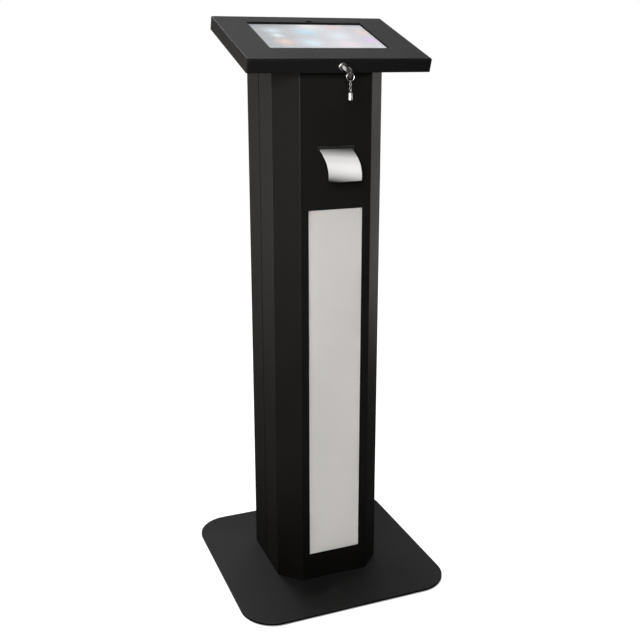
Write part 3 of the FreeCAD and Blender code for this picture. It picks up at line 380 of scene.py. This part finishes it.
# painted shade: the strip is dim where it leaves the slot and where it curls under
curlPaper = finishWith(
    "curlPaper", "paper", strength=0.1, relief=0.0001, specular=0.4,
    Tone=(0.655, 0.655, 0.65, 1), Fibre_Size=0.0007, Mottle=0.04, Gloss=0.5)
paintShadeInTone(curlPaper, way=(0.075, 0, 1), start=0.8035, end=0.8160, depth=0.88)
paintShadeInTone(curlPaper, way=(0.2, 0, 1), start=0.795, end=0.762, depth=1.0, bend=2.0)
signPrint = finishWith(
    "signPrint", "paper", strength=0.05, relief=0.0001, specular=0.4,
    Tone=(0.95, 0.925, 0.905, 1), Fibre_Size=0.001, Mottle=0.03, Gloss=0.5)
print("materials from groups ready")


clearLook = {"index": 1.49, "wipeScale": (30.0, 30.0, 5.0), "wipeTurn": (0, 25, 0),
             "wipeFrom": 0.4, "wipeFull": 0.75, "wipeRough": 0.05}


def clearSheet(name, tint, rough, mirror=0.5):
    # clear acrylic or glass: polished, with faint wipe marks
    material, tree, shader, place = newMaterial(name)
    wipePlace = stretch(tree, place, clearLook["wipeScale"], clearLook["wipeTurn"])
    wipe = noise(tree, wipePlace, 1.0, detail=4.0, rough=0.6)
    dulled = span(tree, wipe, clearLook["wipeFrom"], clearLook["wipeFull"],
                  rough, rough + clearLook["wipeRough"])
    feedAll(tree, shader, {
        "Base Color": tint, "Roughness": dulled, "Transmission Weight": 1.0,
        "IOR": clearLook["index"], "Specular IOR Level": mirror})
    return material


signAcrylic = clearSheet("signAcrylic", grey(0.995), rough=0.02)
screenGlass = clearSheet("screenGlass", (0.98, 0.985, 0.985, 1), rough=0.015, mirror=0.2)


lens = {"across": 0.0102, "slope": 0.1953, "out": -0.0052, "ringScale": 6000.0,
        "ringFrom": 0.2, "black": (0.004, 0.004, 0.006, 1), "violet": (0.03, 0.02, 0.05, 1),
        "rough": (0.03, 0.12)}


def lensMaterial():
    # a coated lens with faint rings around its middle
    material, tree, shader, place = newMaterial("lensBlack")
    centre = onHead(lens["across"], lens["slope"], lens["out"])
    offset = measure(tree, "DISTANCE", place, centre)
    rings = calc(tree, "SINE", calc(tree, "MULTIPLY", offset, lens["ringScale"]))
    shares = span(tree, rings, lens["ringFrom"], 1.0)
    feedAll(tree, shader, {
        "Base Color": blendColour(tree, shares, lens["black"], lens["violet"]),
        "Roughness": span(tree, rings, -1.0, 1.0, *lens["rough"]), "Coat Weight": 1.0})
    return material


lensBlack = lensMaterial()


# A patch is its place across and up the slope, its reach, and its tint
wallpaper = {
    "glow": 1.35, "out": -0.0053, "left": (0.36, 0.38, 0.40, 1), "right": (0.66, 0.66, 0.70, 1),
    "leftEnd": -0.11, "rightEnd": 0.02, "patchFall": 1.5, "patchShare": 0.85,
    "cellScale": 2500.0, "cellShare": 0.03, "cellTone": (0.5, 0.5, 0.52, 1),
    "glass": grey(0.02), "rough": 0.35,
    "patches": [
        (-0.066, 0.098, 0.028, (0.94, 0.64, 0.55, 1)), (-0.070, 0.156, 0.024, (0.78, 0.94, 1.0, 1)),
        (-0.070, 0.130, 0.018, (0.92, 1.0, 1.0, 1)), (-0.020, 0.094, 0.034, (0.74, 0.92, 1.0, 1)),
        (-0.010, 0.150, 0.036, (0.50, 0.80, 0.92, 1)), (0.050, 0.180, 0.028, (0.95, 0.70, 0.70, 1)),
        (0.097, 0.150, 0.022, (0.94, 0.66, 0.58, 1)), (0.098, 0.108, 0.030, (0.84, 0.58, 0.92, 1)),
        (0.045, 0.088, 0.032, (0.94, 0.78, 0.84, 1)), (0.006, 0.186, 0.044, (1.0, 0.97, 0.98, 1)),
        (0.045, 0.132, 0.036, (0.84, 0.90, 0.97, 1))]}


def pictureMaterial():
    # a lit display with a pale wallpaper of soft colour patches
    material, tree, shader, place = newMaterial("screenPicture")
    rightward = span(tree, sidesOf(tree, place)["X"], wallpaper["leftEnd"], wallpaper["rightEnd"])
    colour = blendColour(tree, rightward, wallpaper["left"], wallpaper["right"])
    for across, slope, reach, tint in wallpaper["patches"]:
        gap = measure(tree, "DISTANCE", place, onHead(across, slope, wallpaper["out"]))
        share = calc(tree, "POWER", span(tree, gap, reach, 0.0), wallpaper["patchFall"])
        share = calc(tree, "MULTIPLY", share, wallpaper["patchShare"])
        colour = blendColour(tree, share, colour, tint)
    cells = noise(tree, place, wallpaper["cellScale"], detail=0.0)
    cellShare = spread(tree, cells, 0.0, wallpaper["cellShare"])
    feedAll(tree, shader, {
        "Base Color": wallpaper["glass"], "Roughness": wallpaper["rough"],
        "Emission Color": blendColour(tree, cellShare, colour, wallpaper["cellTone"]),
        "Emission Strength": wallpaper["glow"]})
    return material


screenPicture = pictureMaterial()

wearers = [
    (footPaint, ["base_plate"]),
    (footRubber, ["foot_pads", "head_grommet"]),
    (columnPaint, ["column_front", "neck_collar", "column_hinge_leaves", "rear_door",
                   "door_hinge_leaves"]),
    (headPaint, ["head_mount_plate", "head_tray", "tray_hinge_leaves", "head_cover",
                 "cover_hinge_leaves"]),
    (zincPlate, ["foot_bracket", "base_bolts", "base_nuts", "head_bolts", "head_nuts",
                 "holder_screws", "lock_strike", "cover_hinge_pins", "door_hinge_pins",
                 "door_strike", "printer_chassis", "printer_studs", "printer_nuts", "lock_nut",
                 "lock_cam", "cam_screw", "door_lock_nut", "door_lock_cam", "door_cam_screw",
                 "platen_shaft"]),
    (blackPlastic, ["corner_holders", "print_head", "roll_spindle", "sign_frame", "cable_trim"]),
    (tabletShell, ["tablet_case"]),
    (screenPicture, ["tablet_display"]),
    (screenGlass, ["tablet_glass"]),
    (lensBlack, ["tablet_camera"]),
    (tearSteel, ["tear_bar"]),
    (curlPaper, ["paper_strip"]),
    (receiptPaper, ["paper_roll"]),
    (coreBoard, ["paper_core"]),
    (rollerRubber, ["platen_roller"]),
    (signAcrylic, ["sign_cover"]),
    (signPrint, ["sign_insert"]),
    (foamBoard, ["sign_backing"]),
    (gasketFoam, ["window_gasket"]),
    (lockChrome, ["lock_housing", "door_lock_housing"]),
    (plugSteel, ["lock_plug", "door_lock_plug"]),
    (keyNickel, ["key"]),
    (ringSteel, ["key_ring", "key_tag"]),
    (chainSteel, ["key_chain"]),
]
for material, names in wearers:
    for name in names:
        slots = nodes[name].data.materials
        slots.clear()
        slots.append(material)
print("finishes put on the nodes")


# Meshes made here

def addPiece(name, mesh):
    piece = bpy.data.objects.new(name, mesh)
    scene.collection.objects.link(piece)
    return piece


def closeMesh(work, name):
    bmesh.ops.recalc_face_normals(work, faces=work.faces)
    mesh = bpy.data.meshes.new(name)
    work.to_mesh(mesh)
    work.free()
    return mesh


def flatSlab(name, toFrame, outline, low, high, material, bevel=0.0):
    # a plate with the given outline, between two heights, its upper edge slightly broken
    work = bmesh.new()
    lowRing = [work.verts.new(toFrame(x, y, low)) for x, y in outline]
    highRing = [work.verts.new(toFrame(x, y, high)) for x, y in outline]
    count = len(outline)
    work.faces.new(list(reversed(lowRing)))
    top = work.faces.new(highRing)
    for place in range(count):
        after = (place + 1) % count
        work.faces.new([lowRing[place], lowRing[after], highRing[after], highRing[place]])
    if bevel:
        bmesh.ops.bevel(work, geom=list(top.edges), offset=bevel, segments=2, affect="EDGES")
    mesh = closeMesh(work, name)
    mesh.materials.append(material)
    return addPiece(name, mesh)


def roundedOutline(left, right, near, far, radius, steps=6):
    corners = ((right - radius, far - radius, 0), (left + radius, far - radius, 90),
               (left + radius, near + radius, 180), (right - radius, near + radius, 270))
    points = []
    for centreX, centreY, start in corners:
        for step in range(steps + 1):
            angle = math.radians(start + 90 * step / steps)
            points.append((centreX + radius * math.cos(angle), centreY + radius * math.sin(angle)))
    return points


screen = {"across": 0.123, "near": 0.0449, "far": 0.1989, "corner": 0.008, "low": -0.00515,
          "high": -0.0042, "edge": 0.0003}


def makeScreen():
    outline = roundedOutline(-screen["across"], screen["across"], screen["near"], screen["far"],
                             screen["corner"])
    piece = flatSlab("screenGlassPlate", onHead, outline, screen["low"], screen["high"],
                     screenGlass, screen["edge"])
    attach(piece, "stand")
    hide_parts("tablet_glass")


# The printed face keeps this far behind the insert's own, so that it is clear of the cover
signSheet = {"gap": 0.00006}


def makeSignPrint():
    low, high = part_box("sign_insert")
    outline = [(low.x, low.z), (high.x, low.z), (high.x, high.z), (low.x, high.z)]
    piece = flatSlab("signPrintSheet", lambda x, z, y: Vector((x, -y, z)), outline,
                     -high.y, -low.y - signSheet["gap"], signPrint)
    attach(piece, "stand")
    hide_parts("sign_insert")


makeScreen()
makeSignPrint()
print("screen and sign made")


# Each run of the strip: its length, the curvature at its start and at its end, per metre
receipt = {"half": 0.030, "thick": 0.00025, "start": (-0.051, 0.815125), "step": 0.001,
           "tearDeep": 0.0006, "tears": 30, "flatArea": 1e-7,
           "runs": [(0.0310, 0, 0), (0.0004, -218, -218), (0.0082, 0, 0), (0.00306, 200, 200),
                    (0.0145, 0, 0), (0.0280, 0, 31.8)],
           "lastLeft": 0.0267, "lastRight": 0.0256, "lastCurve": 31.8}


def stripPath(lastRun):
    # the strip's middle line from the roll to its end: places and headings
    y, z = receipt["start"]
    heading = 0.0
    places = [(y, z, heading)]
    runs = []
    for length, first, last in receipt["runs"]:
        bent = first or last
        steps = max(1, round(length / receipt["step"])) if bent else 1
        runs.append((length, first, last, steps))
    lastSteps = round(receipt["lastLeft"] / receipt["step"])
    runs.append((lastRun, receipt["lastCurve"], receipt["lastCurve"], lastSteps))
    for length, first, last, steps in runs:
        for step in range(steps):
            curve = first + (last - first) * (step + 0.5) / steps
            half = heading + curve * length / steps / 2
            y -= math.cos(half) * length / steps
            z -= math.sin(half) * length / steps
            heading += curve * length / steps
            places.append((y, z, heading))
    return places


def stripSide(work, x, path, offset):
    # one column of corners, above or below the middle line
    return [work.verts.new((x, y - math.sin(turn) * offset, z + math.cos(turn) * offset))
            for y, z, turn in path]


def makeReceipt():
    # the strip ends in the teeth of the tear bar, and slightly askew
    columns = receipt["tears"] * 2
    half = receipt["thick"] / 2
    askew = receipt["lastRight"] - receipt["lastLeft"]
    work = bmesh.new()
    upper, lower = [], []
    for column in range(columns + 1):
        share = column / columns
        x = receipt["half"] * (2 * share - 1)
        tooth = receipt["tearDeep"] * (column % 2)
        path = stripPath(receipt["lastLeft"] + askew * share + tooth)
        upper.append(stripSide(work, x, path, half))
        lower.append(stripSide(work, x, path, -half))
    rows = len(upper[0])
    for column in range(columns):
        for row in range(rows - 1):
            near, far = upper[column], upper[column + 1]
            work.faces.new([near[row], near[row + 1], far[row + 1], far[row]])
            near, far = lower[column], lower[column + 1]
            work.faces.new([near[row], far[row], far[row + 1], near[row + 1]])
        for row in (0, rows - 1):
            work.faces.new([upper[column][row], lower[column][row], lower[column + 1][row],
                            upper[column + 1][row]])
    for column in (0, columns):
        above, below = upper[column], lower[column]
        for row in range(rows - 1):
            work.faces.new([above[row], above[row + 1], below[row + 1], below[row]])
    mesh = closeMesh(work, "receiptStrip")
    mesh.materials.append(curlPaper)
    for face in mesh.polygons:
        face.use_smooth = abs(face.normal.x) < 0.5 and face.area > receipt["flatArea"]
    piece = addPiece("receiptStrip", mesh)
    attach(piece, "stand")
    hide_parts("paper_strip")


makeReceipt()
print("receipt strip made")


# Geometry Nodes: named inputs, and a plain mesh at the end

def closeTree(tree, geometry, material, made):
    # loose copies become one mesh with its finish
    real = putNode(tree, "GeometryNodeRealizeInstances", {0: geometry})
    dressed = putNode(tree, "GeometryNodeSetMaterial", {
        "Geometry": real.outputs[0], "Material": material})
    feed(tree, made[0], dressed.outputs[0])


def grow(name, startMesh, tree, values):
    # runs a tree on a start mesh and keeps the result as a plain mesh
    seed = addPiece(name + "Seed", startMesh)
    modifier = seed.modifiers.new("grow", "NODES")
    modifier.node_group = tree
    for item in tree.interface.items_tree:
        if item.in_out == "INPUT" and item.name in values:
            modifier[item.identifier] = values[item.name]
    view = bpy.context.evaluated_depsgraph_get()
    mesh = bpy.data.meshes.new_from_object(seed.evaluated_get(view))
    mesh.name = name
    seed.modifiers.remove(modifier)
    bpy.data.objects.remove(seed)
    return addPiece(name, mesh)


# The ring's wire is oval; the inset is from the node's edge to the middle of the wire
ringSizes = {"turns": 1.92, "wire": 0.00042, "flat": 0.00023, "pitch": 0.00048, "start": 255.6,
             "inset": 0.0005, "around": 48, "wireSides": 12}


def splitRingTree():
    tree, given, made = makeTree("GeometryNodeTree", "splitRing", [
        ("Geometry", "geometry"), ("Turns", "value"), ("Radius", "value"), ("Wire", "value"),
        ("Flat", "value"), ("Pitch", "value"), ("Centre", "vector"), ("Material", "material")],
        [("Geometry", "geometry")])
    width = calc(tree, "MULTIPLY", given["Turns"], given["Pitch"])
    coil = putNode(tree, "GeometryNodeCurveSpiral", {
        "Resolution": ringSizes["around"], "Rotations": given["Turns"],
        "Start Radius": given["Radius"], "End Radius": given["Radius"], "Height": width})
    middle = putNode(tree, "ShaderNodeCombineXYZ", {"Z": calc(tree, "MULTIPLY", width, -0.5)})
    # both ends lie at the foot, so that the two turns are side by side in the key's hole
    centred = putNode(tree, "GeometryNodeTransform", {
        "Geometry": coil.outputs[0], "Translation": middle.outputs[0],
        "Rotation": (0, 0, math.radians(ringSizes["start"]))})
    placed = putNode(tree, "GeometryNodeTransform", {
        "Geometry": centred.outputs[0], "Translation": given["Centre"],
        "Rotation": (math.radians(90), 0, 0)})
    profile = putNode(tree, "GeometryNodeCurvePrimitiveCircle", {
        "Resolution": ringSizes["wireSides"], "Radius": 1.0})
    section = putNode(tree, "ShaderNodeCombineXYZ", {
        "X": given["Flat"], "Y": given["Wire"], "Z": 1.0})
    pressed = putNode(tree, "GeometryNodeTransform", {
        "Geometry": profile.outputs[0], "Scale": section.outputs[0]})
    sweep = putNode(tree, "GeometryNodeCurveToMesh", {
        "Curve": placed.outputs[0], "Profile Curve": pressed.outputs[0], "Fill Caps": True})
    closeTree(tree, sweep.outputs[0], given["Material"], made)
    return tree


def makeSplitRing():
    low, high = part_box("key_ring")
    piece = grow("splitRing", bpy.data.meshes.new("ringSeed"), splitRingTree(), {
        "Turns": ringSizes["turns"], "Radius": (high.x - low.x) / 2 - ringSizes["inset"],
        "Wire": ringSizes["wire"], "Flat": ringSizes["flat"], "Pitch": ringSizes["pitch"],
        "Centre": (low + high) / 2, "Material": ringSteel})
    for face in piece.data.polygons:
        face.use_smooth = len(face.vertices) == 4
    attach(piece, "key_ring")
    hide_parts("key_ring")


makeSplitRing()


def screwHeadMesh(sizes):
    # a pan head with a cross recess, its seat at the origin, facing up
    work = bmesh.new()
    rings = []
    around = sizes["around"]
    for radius, height in sizes["profile"]:
        rings.append([work.verts.new((radius * math.cos(2 * math.pi * step / around),
                                      radius * math.sin(2 * math.pi * step / around), height))
                      for step in range(around)])
    for near, far in zip(rings, rings[1:]):
        for step in range(around):
            after = (step + 1) % around
            work.faces.new([near[step], near[after], far[after], far[step]])
    work.faces.new(list(reversed(rings[0])))
    # the recess: the top face is inset and sunk, and every other pair of its corners drawn in
    floor = work.faces.new(rings[-1])
    bmesh.ops.inset_individual(work, faces=[floor], thickness=sizes["recessEdge"], depth=0)
    bmesh.ops.translate(work, verts=floor.verts, vec=(0, 0, -sizes["recessDeep"]))
    for place, corner in enumerate(floor.verts):
        squeeze = 1.0 if place % 4 < 2 else sizes["crossWaist"]
        corner.co.x *= squeeze
        corner.co.y *= squeeze
    return closeMesh(work, "screwHead")


def screwRowsTree():
    tree, given, made = makeTree("GeometryNodeTree", "screwRows", [
        ("Geometry", "geometry"), ("Start", "vector"), ("Facing", "vector"), ("Hinges", "count"),
        ("Hinge Step", "vector"), ("Screws", "count"), ("Screw Step", "vector"),
        ("Material", "material")], [("Geometry", "geometry")])
    hinges = putNode(tree, "GeometryNodeMeshLine", {
        "Count": given["Hinges"], "Start Location": given["Start"],
        "Offset": given["Hinge Step"]})
    row = putNode(tree, "GeometryNodeMeshLine", {
        "Count": given["Screws"], "Offset": given["Screw Step"]})
    rows = putNode(tree, "GeometryNodeInstanceOnPoints", {
        "Points": hinges.outputs[0], "Instance": row.outputs[0]})
    places = putNode(tree, "GeometryNodeRealizeInstances", {0: rows.outputs[0]})
    heads = putNode(tree, "GeometryNodeInstanceOnPoints", {
        "Points": places.outputs[0], "Instance": given["Geometry"],
        "Rotation": given["Facing"]})
    closeTree(tree, heads.outputs[0], given["Material"], made)
    return tree


hingeScrew = {"around": 16, "recessEdge": 0.00025, "recessDeep": 0.0007, "crossWaist": 0.45,
              "profile": [(0.0023, -0.00005), (0.0024, 0.0003), (0.0021, 0.0009),
                          (0.0016, 0.0012), (0.0013, 0.0013)]}
screwRows = {
    "columnHingeScrews": {
        "body": "stand", "start": (0.1022, 0.003, 0.130), "facing": (0, 90, 0),
        "hinges": 3, "hingeStep": (0, 0, 0.37), "screws": 3, "screwStep": (0, 0, 0.02)},
    "doorHingeScrews": {
        "body": "rear_door", "start": (0.1022, 0.0255, 0.130), "facing": (0, 90, 0),
        "hinges": 3, "hingeStep": (0, 0, 0.37), "screws": 3, "screwStep": (0, 0, 0.02)},
    "coverHingeScrews": {
        "body": "head_cover", "start": onHead(-0.135, 0.2232, -0.0117), "facing": (-71, 0, 0),
        "hinges": 2, "hingeStep": (0.25, 0, 0), "screws": 2, "screwStep": (0.02, 0, 0)},
    "trayHingeScrews": {
        "body": "stand", "start": onHead(-0.135, 0.211, -0.0247), "facing": (199, 0, 0),
        "hinges": 2, "hingeStep": (0.25, 0, 0), "screws": 2, "screwStep": (0.02, 0, 0)},
}


def makeHingeScrews():
    tree = screwRowsTree()
    for name, row in screwRows.items():
        piece = grow(name, screwHeadMesh(hingeScrew), tree, {
            "Start": row["start"], "Facing": [math.radians(angle) for angle in row["facing"]],
            "Hinges": row["hinges"], "Hinge Step": row["hingeStep"],
            "Screws": row["screws"], "Screw Step": row["screwStep"], "Material": zincPlate})
        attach(piece, row["body"])


makeHingeScrews()
print("hinge screws made")


# Studio: pale floor, soft lights, and the photograph's viewpoint

studio = {"floorHalf": 12, "floorTone": grey(0.3), "patchTone": grey(0.2), "patchScale": 1.5,
          "patchShare": 0.03, "floorRough": 0.9, "floorBounce": grey(0.07), "floorGlow": 0.985,
          "plateHalf": 0.2, "plateCorner": 0.062, "plateShade": 0.0028,
          "shadeFrom": -0.004, "shadeTo": 0.0005,
          "horizon": (1.0, 0.97, 0.93, 1), "zenith": (0.98, 0.99, 1.0, 1),
          "horizonLevel": 0.05, "zenithLevel": 0.1, "riseFrom": 0.45, "riseTo": 0.9}


def cameraRay(tree):
    return putNode(tree, "ShaderNodeLightPath").outputs["Is Camera Ray"]


def floorMaterial():
    # seen directly the floor is nearly white; what it throws back on the black paint is kept low
    material, tree, shader, place = newMaterial("floorPale")
    seen = cameraRay(tree)
    patches = spread(tree, noise(tree, place, studio["patchScale"]), 0.0, studio["patchShare"])
    pale = blendColour(tree, patches, studio["floorTone"], studio["patchTone"])
    # painted contact shadow: no glow under the foot plate, a square with round corners, and a
    # little in front of it
    sides = sidesOf(tree, place)
    straight = studio["plateHalf"] - studio["plateCorner"]
    squares = []
    for side in (sides["X"], calc(tree, "ADD", sides["Y"], studio["plateShade"])):
        past = calc(tree, "SUBTRACT", calc(tree, "ABSOLUTE", side), straight)
        squares.append(calc(tree, "POWER", calc(tree, "MAXIMUM", past), 2.0))
    reach = calc(tree, "SQRT", calc(tree, "ADD", *squares))
    clear = span(tree, reach, studio["plateCorner"] + studio["shadeFrom"],
                 studio["plateCorner"] + studio["shadeTo"])
    glow = calc(tree, "MULTIPLY", clear, studio["floorGlow"])
    feedAll(tree, shader, {
        "Base Color": blendColour(tree, seen, studio["floorBounce"], pale),
        "Roughness": studio["floorRough"], "Specular IOR Level": 0.0,
        "Emission Color": grey(1), "Emission Strength": calc(tree, "MULTIPLY", seen, glow)})
    return material


def makeFloor():
    half = studio["floorHalf"]
    corners = [(-half, -half, 0), (half, -half, 0), (half, half, 0), (-half, half, 0)]
    mesh = bpy.data.meshes.new("studioFloor")
    mesh.from_pydata(corners, [], [(0, 1, 2, 3)])
    mesh.materials.append(floorMaterial())
    mesh.update()
    floor = addPiece("studioFloor", mesh)


def makeSky():
    # white where it is seen directly, a soft room from the horizon up for everything else
    world = bpy.data.worlds.new("studioSky")
    world.use_nodes = True
    tree = world.node_tree
    seen = cameraRay(tree)
    way = putNode(tree, "ShaderNodeTexCoord").outputs["Generated"]
    rise = span(tree, sidesOf(tree, way)["Z"], studio["riseFrom"], studio["riseTo"])
    level = span(tree, rise, 0.0, 1.0, studio["horizonLevel"], studio["zenithLevel"])
    tint = blendColour(tree, rise, studio["horizon"], studio["zenith"])
    feedAll(tree, tree.nodes["Background"], {
        "Color": blendColour(tree, seen, tint, grey(1)),
        "Strength": span(tree, seen, 0.0, 1.0, level, 1.0)})
    scene.world = world


lamps = {
    "frontHighLeft": {"at": (-1.3, -2.5, 1.5), "aim": (0, 0, 0.55), "size": (1.2, 1.2),
                      "watts": 122, "tint": (1, 0.99, 0.98)},
    "leftMid": {"at": (-1.6, 1.5, 0.6), "aim": (0, 0, 0.5), "size": (0.8, 1.2),
                "watts": 13.7, "tint": (1, 0.93, 0.87)},
    "leftSideLow": {"at": (-2.0, -0.85, 0.5), "aim": (0, 0, 0.5), "size": (1.0, 0.9),
                    "watts": 8.8, "tint": (1, 0.93, 0.87)},
    "rightRear": {"at": (1.9, 0.55, 1.4), "aim": (0, 0, 0.8), "size": (0.5, 1.4),
                  "watts": 1.0, "tint": (1, 0.96, 0.92)},
    "rightNear": {"at": (1.35, 0.5, 0.55), "aim": (0, 0, 0.45), "size": (0.4, 1.0),
                  "watts": 2.9, "tint": (1, 0.96, 0.92)},
    "rearHigh": {"at": (0.9, 1.6, 3.4), "aim": (0, 0, 0.9), "size": (1.4, 1.0),
                 "watts": 25, "tint": (0.98, 0.98, 1)},
    "rearLeftHigh": {"at": (-0.6, 2.4, 2.6), "aim": (0, 0, 0.9), "size": (1.2, 1.0),
                     "watts": 40, "tint": (0.98, 0.98, 1)},
}


def makeLamps():
    for name, lamp in lamps.items():
        light = bpy.data.lights.new(name, "AREA")
        light.shape = "RECTANGLE"
        light.size, light.size_y = lamp["size"]
        light.energy = lamp["watts"]
        light.color = lamp["tint"]
        holder = bpy.data.objects.new(name, light)
        holder.location = lamp["at"]
        holder.visible_camera = False
        aim = Vector(lamp["aim"]) - Vector(lamp["at"])
        holder.rotation_euler = aim.to_track_quat("-Z", "Y").to_euler()
        scene.collection.objects.link(holder)


# Angles in degrees, lens and sensor in millimetres
viewpoint = {"at": (-0.58787, -1.50229, 0.97153), "turn": -21.61, "dip": 15.02, "lens": 50.514,
             "sensor": 36.0, "lift": -0.04, "nearest": 0.01}


def makeCamera():
    camera = bpy.data.cameras.new("photoCamera")
    camera.sensor_width = viewpoint["sensor"]
    camera.lens = viewpoint["lens"]
    camera.shift_y = viewpoint["lift"]
    camera.clip_start = viewpoint["nearest"]
    holder = bpy.data.objects.new("photoCamera", camera)
    holder.location = viewpoint["at"]
    dip, turn = math.radians(90 - viewpoint["dip"]), math.radians(viewpoint["turn"])
    holder.rotation_euler = (dip, 0, turn)
    scene.collection.objects.link(holder)
    scene.camera = holder


makeFloor()
makeSky()
makeLamps()
makeCamera()
scene.view_settings.view_transform = "Standard"
print("studio ready")
